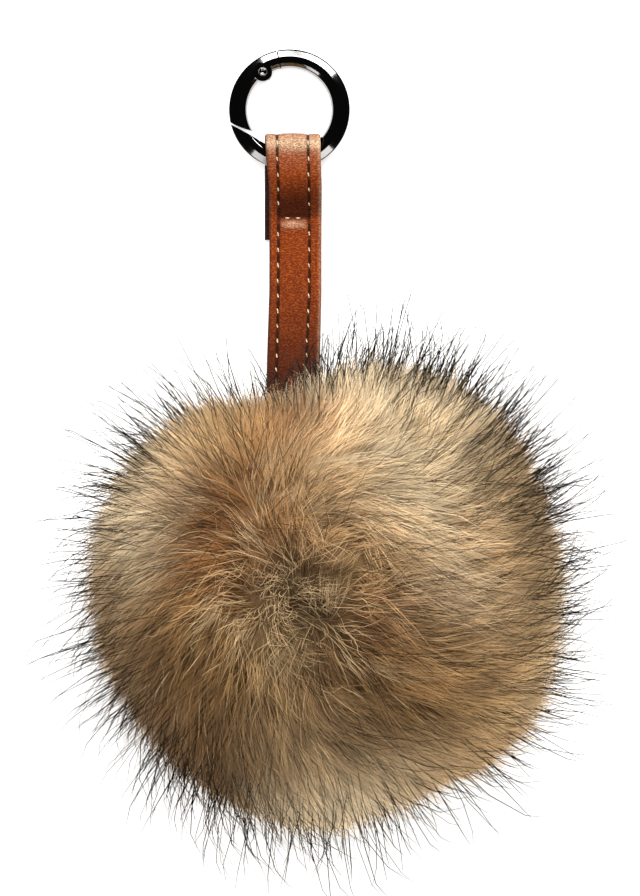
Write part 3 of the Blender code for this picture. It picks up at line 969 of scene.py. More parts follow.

# %% [markdown]
# ## Pile
# Three layers make the pile. Down is short, soft and dense, and gives the body its
# colour. Top hair is longer and finer and reaches the surface. Guard hair is sparse, long
# and black tipped: it lies along the fur on top and stands out at the rim. Fine wisps
# come on top of them at the whorls. Down and top hair are made in two parts each, so that
# no mesh grows too large. One table holds what makes the layers differ.

# %% Layers
# rows: places along a hair from 0 to 1, start: share of the pile's depth where the
# visible hair begins, travel: how far it runs round the ball in radians, lie: how much
# further on top than at the side, clumping: its lean to the clump's middle, scatter,
# frizz and sway: how unruly it is, width: in mm, taper: power of its narrowing, shift:
# place along the hair where its tone is read, streak: how much clumps differ in
# brightness, whorl_shade: painted shade, how much darker it is in the mess of a whorl
LAYERS = {
    "rows": (
        (0.0, 0.5, 1.0),
        (0.0, 0.36, 0.7, 1.0),
        (0.0, 0.36, 0.66, 0.87, 1.0),
        (0.0, 0.18, 0.34, 0.5, 0.65, 0.79, 0.91, 1.0),
    ),
    "start": (0.35, 0.2, 0.1, 0.5),
    "travel": ((0.10, 0.26), (0.14, 0.40), (0.04, 0.26), (0.05, 0.26)),
    "lie": (0.2, 0.3, 1.4, 0.3),
    "clumping": (0.6, 0.65, 0.12, 0.5),
    "scatter": (0.16, 0.24, 0.46, 0.36),
    "frizz": (0.20 * MM, 0.34 * MM, 0.5 * MM, 0.55 * MM),
    "width": ((0.22, 0.35), (0.13, 0.21), (0.17, 0.30), (0.12, 0.18)),
    "taper": (1.8, 2.2, 3.2, 4.0),
    "shift": (0.7, 0.6, 0.5, 0.6),
    "streak": (0.16, 0.20, 0.2, 0.05),
    "sway": (0.24, 0.24, 0.22, 0.25),
    "whorl_shade": (0.62, 0.36, 0.0, 0.0),
}
DOWN, TOP, GUARD, WISP = (
    {name: values[k] for name, values in LAYERS.items()} for k in range(4)
)
PALE = 0.85 * TONES["ash"]  # of the wisps, and of stray clumps at the whorls
PALE_SHARE = 0.35


def hair_tones(paths, clump, layer, seed):
    """A hair's tone: that of the ball where it shows, streaked by clump and by hair."""
    row = max(1, int(layer["shift"] * (paths.shape[1] - 1)))
    seen = unit(paths[:, row] - BALL_CENTRE)
    chance = np.random.default_rng(seed)
    seen = unit(seen + chance.normal(0, 0.045, seen.shape))
    streak = np.random.default_rng(80).normal(0, 1, CLUMPS)[clump]
    factor = np.exp(layer["streak"] * streak + 0.08 * chance.normal(0, 1, len(paths)))
    return fur_tone(seen) * factor[:, None]


def plant(name, layer, finish, count, seed, reach_change, thin=None, light=1.0):
    """Grows one part of a layer and makes its mesh.

    Guard hair is up to 15% wider round the side, where its tips are fully dark.
    """
    roots, paths, chances, clump = grow(layer, count, seed, reach_change, thin)
    widths = np.random.default_rng(seed + 1).uniform(*layer["width"], len(roots)) * MM
    if layer is GUARD:
        widths *= 1 + 0.15 * (1 - smoothstep(0.3, 0.8, roots[:, 2]))
    tones = light * hair_tones(paths, clump, layer, seed + 2)
    if layer is WISP:
        tones = 0.3 * tones + PALE
    elif layer is not GUARD:
        wild = mess(roots)
        pale = np.random.default_rng(80).random(CLUMPS)[clump] < PALE_SHARE * wild
        # painted shade: down and top hair are darker in the mess of a whorl, where the fur parts
        tones *= (1 - layer["whorl_shade"] * wild)[:, None]
        tones[pale] = PALE
    made = strands(name, layer, paths, widths, finish, tones, chances)
    if layer is GUARD:
        per_hair = len(made.data.vertices) // len(roots)
        rim = 1 - smoothstep(0.30, 0.72, roots[:, 2])
        attribute(made, "hair_dark", np.repeat(0.84 + 0.16 * rim, per_hair))


# %% Down


def down_change(roots, chance):
    """Tips from 3 mm under the surface to 0.5 mm over it."""
    return chance.uniform(-3.0, 0.5, len(roots)) * MM


for part, seed in ((1, 100), (2, 110)):
    plant(f"down_{part}", DOWN, under_fur, 20000, seed, down_change, light=1.05)

# %% Top hair


def top_change(roots, chance):
    """Tips from 1.5 mm under the surface to about 3 mm over it, further at the side."""
    side = 1 - smoothstep(0.15, 0.6, roots[:, 2])
    over = chance.exponential(0.7, len(roots)) * (1 + 1.3 * side)
    return (chance.uniform(-1.5, 1.0, len(roots)) + over) * MM


for part, seed in ((1, 300), (2, 310)):
    plant(f"top_hair_{part}", TOP, top_fur, 13300, seed, top_change, light=1.13)

# %% [markdown]
# ## Guard hair
# On a real pelt the guard hairs are the longest and the stiffest, and their black tips
# draw bands round the ball. A low share grows everywhere, and a table adds more in those
# bands. Few grow at the strap's foot, where they would hide the leather.

# %% Guard hair
# picture x, picture y, width in mm, share of the hairs kept there
DARK_BANDS = (
    (350, 352, 8, 0.30), (415, 350, 11, 0.20), (470, 380, 11, 0.28),
    (520, 430, 12, 0.26), (550, 490, 12, 0.28), (560, 560, 12, 0.12),
    (500, 470, 9, 0.16), (560, 620, 12, 0.10), (400, 595, 8, 0.22),
    (560, 680, 12, 0.12), (110, 450, 14, 0.22), (85, 570, 14, 0.13),
    (120, 700, 14, 0.22), (220, 800, 14, 0.16), (225, 490, 8, 0.30),
)
GUARD_SHARE = 0.105
GUARD_REACH = 75 * MM  # radius of the surface that their tips lie on
STRAP_FOOT, FOOT_WIDTH = (293, 408), 0.24  # place in the picture, width on radius 1


def guard_share(roots):
    """Share of the guard hairs kept: a low base, more in the bands, few by the strap."""
    share = np.full(len(roots), GUARD_SHARE)
    for x, y, width, strength in DARK_BANDS:
        distance = BALL_RADIUS * chord(roots, x, y, GUARD_REACH)
        share += strength * bell(distance, width * MM, 0.5)
    by_strap = chord(roots, *STRAP_FOOT, GUARD_REACH)
    share *= 1 - np.exp(-((by_strap / FOOT_WIDTH) ** 4))
    return np.clip(share, 0, 1)


def guard_change(roots, chance):
    """Tips past the surface, most by 5 to 15 mm at the side and by 3 to 9 mm on top."""
    long = chance.exponential(6.5, len(roots)) + 4.5
    side = np.interp(roots[:, 2], [0.3, 0.85], [1.0, 0.6])
    return np.minimum(long * side, 23.0) * MM


plant("guard_hair", GUARD, guard_fur, 24000, 400, guard_change, guard_share)

# %% [markdown]
# ## Wisps
# Fine pale hairs stand up out of the whorls and lie here and there on the rest. They are
# thin and much curled, so each has more rows than the other hairs.

# %% Wisps
CROWN, CROWN_WIDTH = (257, 594), 0.13  # place in the picture, width on radius 1


def wisp_share(roots):
    """Nearly all of them in tufts at the whorls and at the crown, a few elsewhere."""
    tuft = smoothstep(-0.5, 0.5, slow_noise(roots, 30, 52))
    crown = 0.5 * bell(chord(roots, *CROWN), CROWN_WIDTH)
    return np.clip(0.012 + 1.2 * tuft * mess(roots) ** 1.5 + crown, 0, 1)


def wisp_change(roots, chance):
    """Tips from 1 mm under the surface to 3 mm over it."""
    return chance.uniform(-1.0, 3.0, len(roots)) * MM


plant("wisp_hair", WISP, top_fur, 62000, 500, wisp_change, wisp_share)

# %% [markdown]
# ## The strap
# One strip of leather is swept along its route. Its section changes slowly: the front
# ply is a little narrower than the back tab, whose dark edge shows on the left. Leather
# sinks along its stitching and bulges between, and the cross seam pulls a dent.

# %% Strap surface
TAB_Z = STRAP_THICKNESS / 2
PITCH = 4.46 * MM  # of the stitches
ROW_STEP = 0.75 * MM
STITCH_SINK, SEAM_DENT, SEAM_SWELL, PILLOW = 0.30 * MM, 0.55 * MM, 0.45 * MM, 0.16 * MM
EDGE_TURN, UNDER_TURN, EDGE_ROUNDING = 0.55 * MM, 0.5 * MM, 0.28 * MM
# position along the ball's Y axis in mm, then X in mm of left edge, left seam, right
# seam and right edge
STRAP_EDGES = (
    (42, -16.9, -13.9, -5.6, -1.9),
    (68, -16.4, -13.6, -5.2, -1.4),
    (86, -15.8, -13.2, -4.4, -1.0),
    (100, -15.8, -13.2, -4.4, -1.0),
    (116, -15.9, -13.2, -4.5, -0.9),
    (124, -16.7, -13.5, -4.7, -1.2),
    (131, -17.1, -13.6, -4.9, -1.3),
)
TAB_EDGES = (-17.1, -13.6, -4.9, -1.3)


def strap_route():
    """Middle line as (y, z) points from tab end to root, and whether each is in front."""
    fold = FOLD_Y - STRAP_THICKNESS / 2 - FOLD_CORNER
    tab = np.linspace(TAB_END_Y, fold, 24)[:-1]
    route = [np.stack([tab, np.full_like(tab, TAB_Z)], axis=1)]
    for start, z in ((-90, TAB_Z + FOLD_CORNER), (0, CREST_Z - FOLD_CORNER)):
        turn = np.radians(np.linspace(start, start + 90, 12))
        route.append(
            np.stack([fold + FOLD_CORNER * np.cos(turn), z + FOLD_CORNER * np.sin(turn)], 1)
        )
    front = np.linspace(fold, ROOT_Y, round((fold - ROOT_Y) / ROW_STEP))[1:]
    route.append(np.stack([front, front_ply_z(front)], axis=1))
    in_front = np.concatenate([np.zeros(len(tab) + 12), np.ones(12 + len(front))])
    return np.concatenate(route), in_front


def strap_columns(left, left_seam, right_seam, right):
    """X of the points across the upper side: even between edges and seams."""
    parts = ((left, left_seam, 8), (left_seam, right_seam, 16), (right_seam, right, 8))
    shares = [np.linspace(0, 1, count + 1)[:-1] for _, _, count in parts]
    across = [
        low[:, None] + share[None] * (high - low)[:, None]
        for (low, high, _), share in zip(parts, shares)
    ]
    return np.concatenate(across + [right[:, None]], axis=1)


route, in_front = strap_route()
heading = unit(np.gradient(route, axis=0))
heading[0] = (1, 0)
heading[-1] = (-np.cos(ROOT_SLOPE), np.sin(ROOT_SLOPE))
steps = np.linalg.norm(np.diff(route, axis=0), axis=1)
arc_length = np.concatenate([[0], np.cumsum(steps)])
table = np.array(STRAP_EDGES) * MM
lines = np.stack([np.interp(route[:, 0], table[:, 0], table[:, k]) for k in range(1, 5)], 1)
lines = np.where(in_front[:, None] > 0, lines, np.array(TAB_EDGES)[None] * MM)
left, left_seam, right_seam, right = np.split(lines, 4, axis=1)

across = strap_columns(*lines.T)
seam_gap = np.minimum(np.abs(across - left_seam), np.abs(across - right_seam))
from_edge = np.minimum(across - left, right - across)
between_seams = (across > left_seam - 1e-6) & (across < right_seam + 1e-6)
row_y = route[:, :1] + 0 * across
front = in_front[:, None] * (row_y < FOLD_Y)
sink = STITCH_SINK * bell(seam_gap, 0.55 * MM)
dent = SEAM_DENT * bell(row_y - SEAM_Y - 0.5 * MM, 0.8 * MM) * front
swell = SEAM_SWELL * bell(row_y - SEAM_Y + 2.0 * MM, 1.8 * MM) * front
bulge = np.sin(np.pi * np.clip((across - left_seam) / (right_seam - left_seam), 0, 1))
at_edge = np.exp(-from_edge / EDGE_ROUNDING)
relief = PILLOW * bulge - sink - EDGE_TURN * at_edge
relief = relief + between_seams * (swell - dent) * bulge**0.4
upper = STRAP_THICKNESS / 2 + relief
lower = -STRAP_THICKNESS / 2 + UNDER_TURN * at_edge
back = slice(None, None, -4)  # every fourth column returns below
section_x = np.concatenate([across, across[:, back]], axis=1)
section_up = np.concatenate([upper, lower[:, back]], axis=1)
ring_y = route[:, :1] + heading[:, 1:] * section_up
ring_z = np.maximum(route[:, 1:] - heading[:, :1] * section_up, 0.0)
rings = np.stack([section_x, ring_y, ring_z], axis=-1)
print("strap rows and columns:", rings.shape[:2], "length in mm:", arc_length[-1] / MM)

# %% [markdown]
# ## Leather
# The real leather has a fine grain, and its right edge is paler from wear. Its colour also
# carries painted light: painted shade near the fur, on the slope and in the dent of the cross
# seam, painted shade in the stitch grooves and holes, and painted highlights on the fold and
# below the cross seam. A picture of leather could be wrapped round it, but noise needs no
# picture and stays sharp at any size. A node group makes the grain, and values on the
# strap's points say where shade and highlights are painted, where the edge wears and where
# the seams are pricked.

# %% Leather
# painted shade in the stitch grooves: its strength along a seam, and what each stitch's hole adds
GROOVE_SHADE, HOLE_SHADE = 0.62, 0.3  # along a seam, and what a stitch's end adds
grain, group_in, group_out = node_group(
    "leather_grain",
    {
        "Place": ("NodeSocketVector", None),
        "Density": ("NodeSocketFloat", 2300.0),
        "Depth": ("NodeSocketFloat", 0.0003),
    },
    {"Height": ("NodeSocketFloat", None), "Normal": ("NodeSocketVector", None)},
)
value = group_in.outputs
stretched = {"Vector": value["Place"], "Rotation": (0, 0, 0.7), "Scale": (0.7, 1.5, 1)}
grain_place = add_node(grain, "ShaderNodeMapping", stretched).outputs[0]
pattern = {"Vector": grain_place, "Scale": value["Density"]}
creases = add_node(grain, "ShaderNodeTexNoise", {**pattern, "Detail": 1.0}).outputs["Fac"]
pores = add_node(grain, "ShaderNodeTexVoronoi", pattern).outputs["Distance"]
height = maths(grain, "ADD", creases, times(grain, pores, 0.6))
bump = add_node(grain, "ShaderNodeBump", {"Distance": value["Depth"], "Height": height})
feed(grain, group_out, {"Height": height, "Normal": bump.outputs[0]})

leather, tree, shader = new_material("cognac_leather")
place = object_place(tree)
texture = add_node(tree, "ShaderNodeGroup", {"Place": place}, node_tree=grain).outputs
blotchy = {"Vector": place, "Scale": 220.0, "Detail": 2.0}
mottle = add_node(tree, "ShaderNodeTexNoise", blotchy).outputs["Fac"]
leather_tone_and_shading = mix_colour(tree, mottle, paint(92, 30, 5), paint(126, 50, 12))
raised = times(tree, between(tree, texture["Height"], 0.72, 1.05), 0.36)
leather_tone_and_shading = mix_colour(tree, raised, leather_tone_and_shading, paint(205, 110, 44))
# painted shade towards dark brown, where the strap's shade value is high
leather_tone_and_shading = mix_colour(tree, rider(tree, "shade"), leather_tone_and_shading, paint(42, 13, 4))
# painted highlight, flecked by the grain, on the fold and below the cross seam; with it the pale
# wear of the right edge
glint = maths(tree, "ADD", 0.5, between(tree, texture["Height"], 0.5, 1.1))
highlight_and_rub_amount = times(tree, rider(tree, "highlight_and_rub"), glint)
leather_tone_and_shading = mix_colour(tree, highlight_and_rub_amount, leather_tone_and_shading, paint(238, 210, 172))

# painted shade in the groove beside a seam, and more of it in the later half of each stitch's
# pitch, between the stitches
turn = maths(tree, "FRACT", rider(tree, "seam_pitch"), 0.0)
late = between(tree, turn, 0.35, 0.5)
prick_gate = times(tree, late, without(tree, between(tree, turn, 0.85, 1.0)))
along_seam = without(tree, between(tree, rider(tree, "seam_gap"), 0.24, 0.62))
depth = maths(tree, "ADD", GROOVE_SHADE, times(tree, prick_gate, HOLE_SHADE))
leather_tone_and_shading = mix_colour(tree, times(tree, along_seam, depth), leather_tone_and_shading, paint(34, 16, 8))
leather_tone_and_shading = mix_colour(tree, rider(tree, "dark_edge"), leather_tone_and_shading, paint(18, 12, 9))
look = {"Base Color": leather_tone_and_shading, "Normal": texture["Normal"], "Roughness": 0.42}
feed(tree, shader, {**look, "Specular IOR Level": 0.09})
print("leather nodes:", len(tree.nodes), "and in its grain:", len(grain.nodes))

# %% [markdown]
# ## The strap: its painted shade, painted highlights and wear
# Painted shade, painted highlights and wear follow the strap's form, so their amounts are
# worked out for each point from the place along the strap and across it. They ride on the
# points as named values, and the material reads them by name.

# %% Strap


def strap_values(name, upper_side, below=0.0, front_only=True):
    """Puts values on the strap: these on its upper side and one value below."""
    values = np.full(rings.shape[:2], below)
    values[:, : across.shape[1]] = upper_side
    if front_only:
        values *= in_front[:, None]
    attribute(leather_strap, name, values.ravel())


leather_strap = outward(sweep("leather_strap", rings, leather))
in_mm = route[:, :1] / MM
strap_values("seam_gap", seam_gap / MM, 9.0, front_only=False)
attribute(leather_strap, "seam_pitch", np.repeat(arc_length / PITCH, rings.shape[1]))
edge_dark = np.where(in_front[:, None] == 0, 0.9, 0.9 * bell(across - left, 0.4 * MM))
strap_values("dark_edge", edge_dark, 0.9, front_only=False)

# painted shade: dark near the fur, on the slope below the crest and in the dent of the cross seam
root_shade = 0.80 * (1 - smoothstep(58, 98, in_mm))
slope_shade = 0.84 * smoothstep(106.7, 108.0, in_mm) * (1 - smoothstep(111, 121, in_mm))
slope_share = np.where(between_seams, 1.0, np.where(across < left_seam, 0.30, 0.65))
shades = np.maximum(root_shade, slope_shade * slope_share)
shades = np.maximum(shades, bell(in_mm - 107.3, 0.7) * between_seams)
strap_values("shade", shades)

# painted highlight on the fold and below the cross seam, and pale wear along the right edge
fold_highlight = 0.40 * bell(in_mm - 128.0, 1.8) + 0.07 * smoothstep(118, 128, in_mm)
seam_highlight = 0.34 * bell(in_mm - 105.2, 0.9)
edge_rub = 0.14 * bell(right - across - 0.5 * MM, 0.35 * MM)
strap_values("highlight_and_rub", fold_highlight + seam_highlight * bulge + edge_rub)
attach(leather_strap, "charm")
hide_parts("strap")
print("strap volume in cm3:", volume(leather_strap) * 1e6)

# %% [markdown]
# ## Stitches
# A saddle stitch shows as a short bead of thread that rises out of one hole and sinks
# into the next. Each is a small closed spindle laid on the leather, higher at the end
# that is nearer the ring. Two more lie across the strap on the cross seam.

# %% Stitches
STITCH_LENGTH, STITCH_WIDTH, STITCH_SLANT = 2.1 * MM, 0.44 * MM, 0.22
STITCH_START = 0.17  # of the pitch, from each hole
STITCH_HIGH = STRAP_THICKNESS / 2 - 0.06 * MM
STITCH_RISE, STITCH_FALL = 0.05 * MM, 0.72 * MM
UNDER_FUR_LENGTH = 14 * MM  # of the strap's end without stitches
CROSS_LENGTH, CROSS_WIDTH = 1.4 * MM, 0.38 * MM
CROSS_X, CROSS_OFFSET = (-10.6 * MM, -7.6 * MM), 0.4 * MM


def route_at(length, side):
    """Point, heading and outward normal on a seam of the strap at an arc length."""
    y = np.interp(length, arc_length, route[:, 0])
    z = np.interp(length, arc_length, route[:, 1])
    dy = np.interp(length, arc_length, heading[:, 0])
    dz = np.interp(length, arc_length, heading[:, 1])
    x = np.interp(length, arc_length, lines[:, side])
    return np.array([x, y, z]), np.array([0, dy, dz]), np.array([0, dz, -dy])


def spindle(middle, along, up, length, width, rise_start, rise_end, chance):
    """Rings of one stitch: width * sqrt(sin(pi s)) round a line that rises and sinks."""
    side = np.cross(along, up)
    turns = TAU * np.arange(8) / 8
    around = np.outer(np.cos(turns), side) + np.outer(np.sin(turns), up)
    body = []
    for share in np.linspace(0.04, 0.96, 7):
        centre = middle + (share - 0.5) * length * along
        centre = centre + (rise_start + (rise_end - rise_start) * share) * up
        half_width = width / 2 * np.sqrt(np.sin(np.pi * share)) * (1 + 0.1 * chance)
        body.append(centre + half_width * around)
    return np.array(body)


def many_sweeps(name, bodies, finish):
    """Several equal sweeps as one mesh."""
    rows, columns, _ = bodies[0].shape
    corners, counts = sweep_faces(rows, columns)
    all_corners = [corners + k * rows * columns for k in range(len(bodies))]
    points = np.concatenate(bodies).reshape(-1, 3)
    all_counts = counts * len(bodies)
    return mesh_piece(name, points, np.concatenate(all_corners), all_counts, finish)


def seam_stitches():
    """Spindles along both seams of the front ply, with none on the cross seam."""
    chance = np.random.default_rng(61)
    bodies = []
    for side in (1, 2):
        for k in range(int(arc_length[-1] / PITCH)):
            length = (k + STITCH_START + 0.02 * chance.normal()) * PITCH
            middle, along, up = route_at(length, side)
            if length > arc_length[-1] - UNDER_FUR_LENGTH or middle[2] < 0.3 * MM:
                continue
            if np.interp(length, arc_length, in_front) < 0.5:
                continue
            if abs(middle[1] - SEAM_Y) < 1.2 * MM:
                continue
            middle = middle + 0.1 * MM * chance.normal() * np.array([1, 0, 0])
            slanted = unit(along + np.array([STITCH_SLANT, 0, 0]))
            size = (STITCH_LENGTH * chance.uniform(0.85, 1.1), STITCH_WIDTH)
            rises = (STITCH_HIGH + STITCH_RISE, STITCH_HIGH - STITCH_FALL)
            bodies.append(spindle(middle, slanted, up, *size, *rises, chance.normal()))
    return bodies


def cross_stitches():
    """The two spindles that lie across the strap on the cross seam."""
    size = (CROSS_LENGTH, CROSS_WIDTH)
    rises = (STRAP_THICKNESS / 2 - 0.22 * MM, STRAP_THICKNESS / 2 - 0.30 * MM)
    across_way, up = np.array([1.0, 0, 0]), np.array([0, 0, 1.0])
    middles = [np.array([x, SEAM_Y + CROSS_OFFSET, SEAM_Z]) for x in CROSS_X]
    return [spindle(middle, across_way, up, *size, *rises, 0) for middle in middles]


thread, tree, shader = new_material("cream_thread")
twist = {"Vector": object_place(tree), "Scale": 900.0, "Distortion": 1.0}
ply = add_node(tree, "ShaderNodeTexWave", twist, bands_direction="DIAGONAL").outputs["Fac"]
cream = mix_colour(tree, ply, paint(196, 160, 112), paint(250, 236, 206))
feed(tree, shader, {"Base Color": cream, "Roughness": 0.55})

bodies = seam_stitches() + cross_stitches()
stitches = outward(many_sweeps("stitches", bodies, thread))
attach(stitches, "charm")
print(len(bodies), "stitches, cm3:", volume(stitches) * 1e6)

# %% [markdown]
# ## The gate ring
# The ring is swept in its own plane from a bevelled section and then cut, as a machinist
# would: a fork slot for the tongue, a slanted end at the latch, a round seat for the
# rivet. It keeps the frame's radii, angles and tilt, so that the gate still swings.

# %% Ring sizes
RING_CENTRE = np.array([-10.1, 137.7, 0]) * MM
WIRE_MIDDLE = 14.41 * MM
WIRE_WIDTH = 5.25 * MM
HALF_WIRE = 2.3 * MM
TABLE_CONTACT = 15.6 * MM
RING_TILT = np.arcsin((STRAP_THICKNESS + 0.3 * MM) / (WIRE_MIDDLE + TABLE_CONTACT))
RING_Z = TABLE_CONTACT * np.sin(RING_TILT) + HALF_WIRE * np.cos(RING_TILT)
FIT_GAP = 0.3 * MM
SHARP_ANGLE = np.radians(32)  # edges above this stay sharp
RING_GROWTH = 0.12 * MM  # the wire stands this much further out than the frame's
SEAM_ANGLE = np.radians(101.25)
PIVOT_ANGLE = np.radians(125.4)
PIVOT_RADIUS = 13.0 * MM
BOSS_RADIUS = 2.65 * MM
TONGUE_THICKNESS = 1.6 * MM
TONGUE_END = 2.3 * MM
TONGUE_BAND = (12.4 * MM, 16.2 * MM)
RIVET_RADIUS = 0.7 * MM
SWING_RADIUS = 17.0 * MM
LATCH_DISTANCE = 17.4 * MM
LATCH_POINT = (16.77 * MM, np.radians(196.9))
RING_END_ANGLE = np.radians(-168)
GATE_END_ANGLE = np.radians(232)
# section of the wire: outwards from its middle and up, in mm, with a fillet each
WIRE_CORNERS = (
    (2.625, -0.85, 0.15),
    (2.625, 0.95, 0.08),
    (2.59, 1.15, 0.04),
    (2.23, 1.41, 0.05),
    (0.55, 2.19, 0.08),
    (-0.43, 2.30, 0.10),
    (-1.25, 2.12, 0.16),
    (-2.20, 1.45, 0.25),
    (-2.625, 0.50, 0.30),
    (-2.625, -0.50, 0.30),
    (-2.20, -1.45, 0.25),
    (-1.25, -2.10, 0.20),
    (0.00, -2.30, 0.12),
    (1.05, -2.04, 0.14),
    (2.45, -1.42, 0.14),
)


def rounded(corners):
    """A closed outline whose corners are replaced by short quadratic arcs.

    One more point on each side of an arc keeps the flat between two arcs flat to shading.
    """
    corners = np.array(corners)
    points = []
    for k, (x, up, fillet) in enumerate(corners):
        here = np.array([x, up])
        before = unit(corners[k - 1][:2] - here)
        after = unit(corners[(k + 1) % len(corners)][:2] - here)
        start, end = here + fillet * before, here + fillet * after
        points.append(here + 1.5 * fillet * before)
        for s in (0, 0.5, 1):
            points.append((1 - s) ** 2 * start + 2 * s * (1 - s) * here + s * s * end)
        points.append(here + 1.5 * fillet * after)
    return np.array(points) * MM


def turn_section(section, angles, centre=(0.0, 0.0)):
    """Rings of points: a section of (radius, height) turned through angles."""
    ways = np.stack([np.cos(angles), np.sin(angles)], axis=1)
    flat = section[None, :, :1] * ways[:, None] + np.array(centre)
    height = np.broadcast_to(section[None, :, 1:], (*flat.shape[:2], 1))
    return np.concatenate([flat, height], axis=2)


def polar(radius, angle):
    """(x, y) of a place in the ring's plane."""
    return np.array([radius * np.cos(angle), radius * np.sin(angle)])


PIVOT = polar(PIVOT_RADIUS, PIVOT_ANGLE)

# %% [markdown]
# ## Black metal
# The ring looks like polished metal plated in a dark nickel, which shows little but the
# lamps. A metal shader with a low roughness does this, and a slight noise in its colour
# and roughness keeps the faces from looking like glass.

# %% Metal
metal, tree, shader = new_material("black_nickel")
worn_places = {"Vector": object_place(tree), "Scale": 260.0, "Detail": 4.0}
wear = add_node(tree, "ShaderNodeTexNoise", worn_places).outputs["Fac"]
nickel = {
    "Base Color": mix_colour(tree, wear, (0.26, 0.25, 0.245, 1), (0.33, 0.315, 0.305, 1)),
    "Roughness": maths(tree, "ADD", 0.05, times(tree, wear, 0.06)),
    "Metallic": 1.0,
    "Coat Weight": 0.25,
    "Coat Roughness": 0.05,
}
feed(tree, shader, nickel)

# %% [markdown]
# ## Tools that join and cut
# A machinist needs few shapes: a disc, a bar bent round the ring and a block. Each is
# swept like the wire, and a boolean joins it to a piece or cuts it out of one.

# %% Cutting


def disc_rings(centre, radius, half_height):
    """Two rings of a round plate, half of it above the ring's plane."""
    section = np.array([[radius, -half_height], [radius, half_height]])
    turns = TAU * np.arange(48) / 48
    return turn_section(section, turns, centre).transpose(1, 0, 2)


def band_section(inner, outer, half_height):
    """The four corners of a flat bar's section."""
    return np.array(
        [[inner, -half_height], [outer, -half_height], [outer, half_height], [inner, half_height]]
    )


def block_rings(corner, along, side, length, width, half_height):
    """A box from a corner, along one way and to one side, in the ring's plane."""
    ends = (corner, corner + length * along)
    outline = np.array([*ends, ends[1] + width * side, corner + width * side])
    levels = [np.full((4, 1), z) for z in (-half_height, half_height)]
    return np.stack([np.concatenate([outline, level], axis=1) for level in levels])


def combine(piece, operation, name, tool_rings):
    """Joins a sweep to a piece (UNION) or cuts it out (DIFFERENCE)."""
    tool = outward(sweep(name, tool_rings, metal))
    modifier = piece.modifiers.new("cut", "BOOLEAN")
    modifier.operation = operation
    modifier.solver = "EXACT"
    modifier.object = tool
    graph = bpy.context.evaluated_depsgraph_get()
    result = bpy.data.meshes.new_from_object(piece.evaluated_get(graph))
    piece.modifiers.clear()
    piece.data = result
    bpy.data.objects.remove(tool)


def settle(piece, body, node):
    tilt = Matrix.Rotation(-RING_TILT, 4, "X")
    move = Matrix.Translation((RING_CENTRE[0], RING_CENTRE[1], RING_Z))
    piece.data.transform(move @ tilt)
    piece.data.polygons.foreach_set("use_smooth", np.ones(len(piece.data.polygons), bool))
    piece.data.set_sharp_from_angle(angle=SHARP_ANGLE)
    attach(piece, body)
    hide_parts(node)
    print(piece.name, len(piece.data.polygons), "faces, cm3:", volume(piece) * 1e6)


wire = rounded(WIRE_CORNERS)
wire[:, 0] += WIRE_MIDDLE + RING_GROWTH

# %% [markdown]
# ## The fixed part of the ring
# It is a C of wire that ends in a flat tongue, on which the gate hangs, and in a slanted
# face at the latch. Each join and cut is a boolean with a simple solid. A tool ends a
# hair's breadth short of the face beside it, because a boolean fails on shared faces.

# %% Fixed part of the ring
HALF_TONGUE = TONGUE_THICKNESS / 2
HOLE_RADIUS = RIVET_RADIUS + FIT_GAP
COLLAR_HALF = 2.45 * MM
ring_angles = np.linspace(SEAM_ANGLE, RING_END_ANGLE, 110)
polished_ring = outward(sweep("polished_ring", turn_section(wire, ring_angles), metal))
tongue_angles = np.linspace(SEAM_ANGLE - np.radians(9), PIVOT_ANGLE - np.radians(2.5), 14)
tongue = turn_section(band_section(*TONGUE_BAND, HALF_TONGUE), tongue_angles)
combine(polished_ring, "UNION", "tongue", tongue)
collar_angles = SEAM_ANGLE + np.radians(np.linspace(-2, 2, 5))
collar = (WIRE_MIDDLE - COLLAR_HALF, WIRE_MIDDLE + COLLAR_HALF, 0.96 * HALF_TONGUE)
combine(polished_ring, "UNION", "collar", turn_section(band_section(*collar), collar_angles))
tongue_end = disc_rings(PIVOT, TONGUE_END, 0.98 * HALF_TONGUE)
combine(polished_ring, "UNION", "tongue_end", tongue_end)
tongue_hole = disc_rings(PIVOT, HOLE_RADIUS, HALF_WIRE)
combine(polished_ring, "DIFFERENCE", "tongue_hole", tongue_hole)
towards = unit(PIVOT - polar(*LATCH_POINT))
along_cut = np.array([towards[1], -towards[0]])
corner = PIVOT - LATCH_DISTANCE * towards - WIRE_WIDTH * along_cut
latch = block_rings(corner, along_cut, towards, 3 * WIRE_WIDTH, WIRE_WIDTH, 2 * HALF_WIRE)
combine(polished_ring, "DIFFERENCE", "latch_cut", latch)
settle(polished_ring, "charm", "ring_body")

# %% [markdown]
# ## The gate
# The gate is the rest of the circle, with a knuckle that is slotted for the tongue. Its
# free end is cut to an arc round the rivet, so that it clears the latch as it swings in.

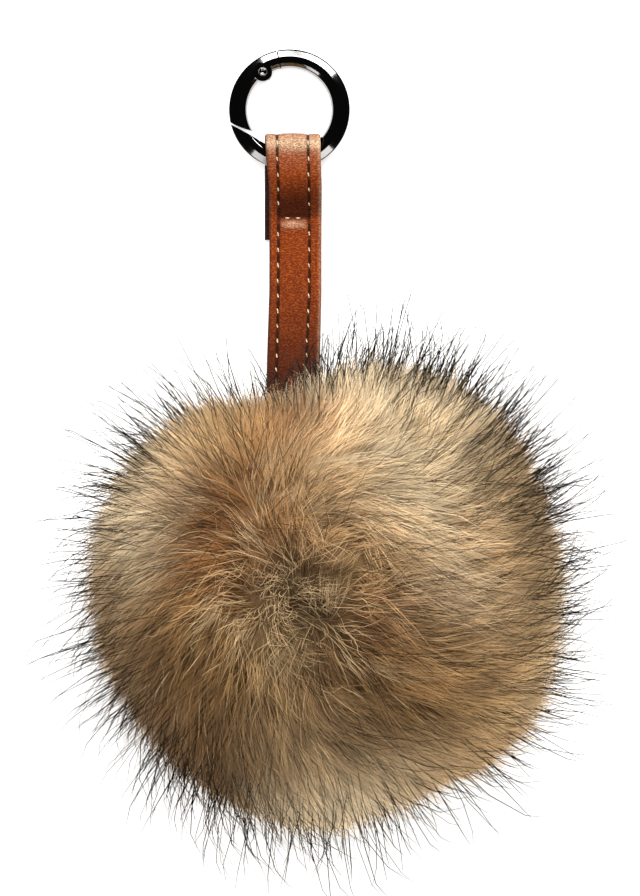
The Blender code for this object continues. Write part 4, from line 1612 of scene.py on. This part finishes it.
# %% Gate
CHEEK = 0.96 * HALF_WIRE
SLOT_HALF = HALF_TONGUE + FIT_GAP
gate_start = SEAM_ANGLE + FIT_GAP / (WIRE_MIDDLE - WIRE_WIDTH / 2)
gate_angles = np.linspace(gate_start, GATE_END_ANGLE, 56)
polished_gate = outward(sweep("polished_gate", turn_section(wire, gate_angles), metal))
combine(polished_gate, "UNION", "knuckle", disc_rings(PIVOT, BOSS_RADIUS, CHEEK))
hinge_way = np.array([np.sin(PIVOT_ANGLE), -np.cos(PIVOT_ANGLE)])
outwards = polar(1.0, PIVOT_ANGLE)
fork_corner = PIVOT - 2 * WIRE_WIDTH * outwards
fork_size = (4 * WIRE_WIDTH, 2 * WIRE_WIDTH, SLOT_HALF)
fork = block_rings(fork_corner, outwards, hinge_way, *fork_size)
combine(polished_gate, "DIFFERENCE", "fork_slot", fork)
fork_round = disc_rings(PIVOT, TONGUE_END + FIT_GAP, 0.99 * SLOT_HALF)
combine(polished_gate, "DIFFERENCE", "fork_round", fork_round)
gate_hole = disc_rings(PIVOT, HOLE_RADIUS, 2 * HALF_WIRE)
combine(polished_gate, "DIFFERENCE", "gate_hole", gate_hole)
swing_angles = np.radians(np.linspace(215, 300, 60))
outside = band_section(SWING_RADIUS, 2 * SWING_RADIUS, 4 * HALF_WIRE)
combine(polished_gate, "DIFFERENCE", "swing_cut", turn_section(outside, swing_angles, PIVOT))
settle(polished_gate, "gate", "ring_gate")

# %% [markdown]
# ## The rivet
# The rivet is a plain round pin whose head is a low dome with a dimple. It is turned from
# one profile, as it would be on a lathe.

# %% Rivet
# radius and height above the gate's face, in mm
RIVET_PROFILE = (
    (1.30, 0.30), (1.30, 0.42), (1.24, 0.62), (1.08, 0.82), (0.88, 0.90),
    (0.70, 0.86), (0.52, 0.70), (0.30, 0.60), (0.06, 0.57),
)
dome = np.array(RIVET_PROFILE) * MM + np.array([0, HALF_WIRE])
shank = np.array([[RIVET_RADIUS, 0.1 * MM - HALF_WIRE], [RIVET_RADIUS, HALF_WIRE + FIT_GAP]])
rivet_turns = TAU * np.arange(40) / 40
rivet_rings = turn_section(np.concatenate([shank, dome]), rivet_turns, PIVOT)
polished_rivet = sweep("polished_rivet", rivet_rings.transpose(1, 0, 2), metal)
settle(outward(polished_rivet), "charm", "gate_rivet")
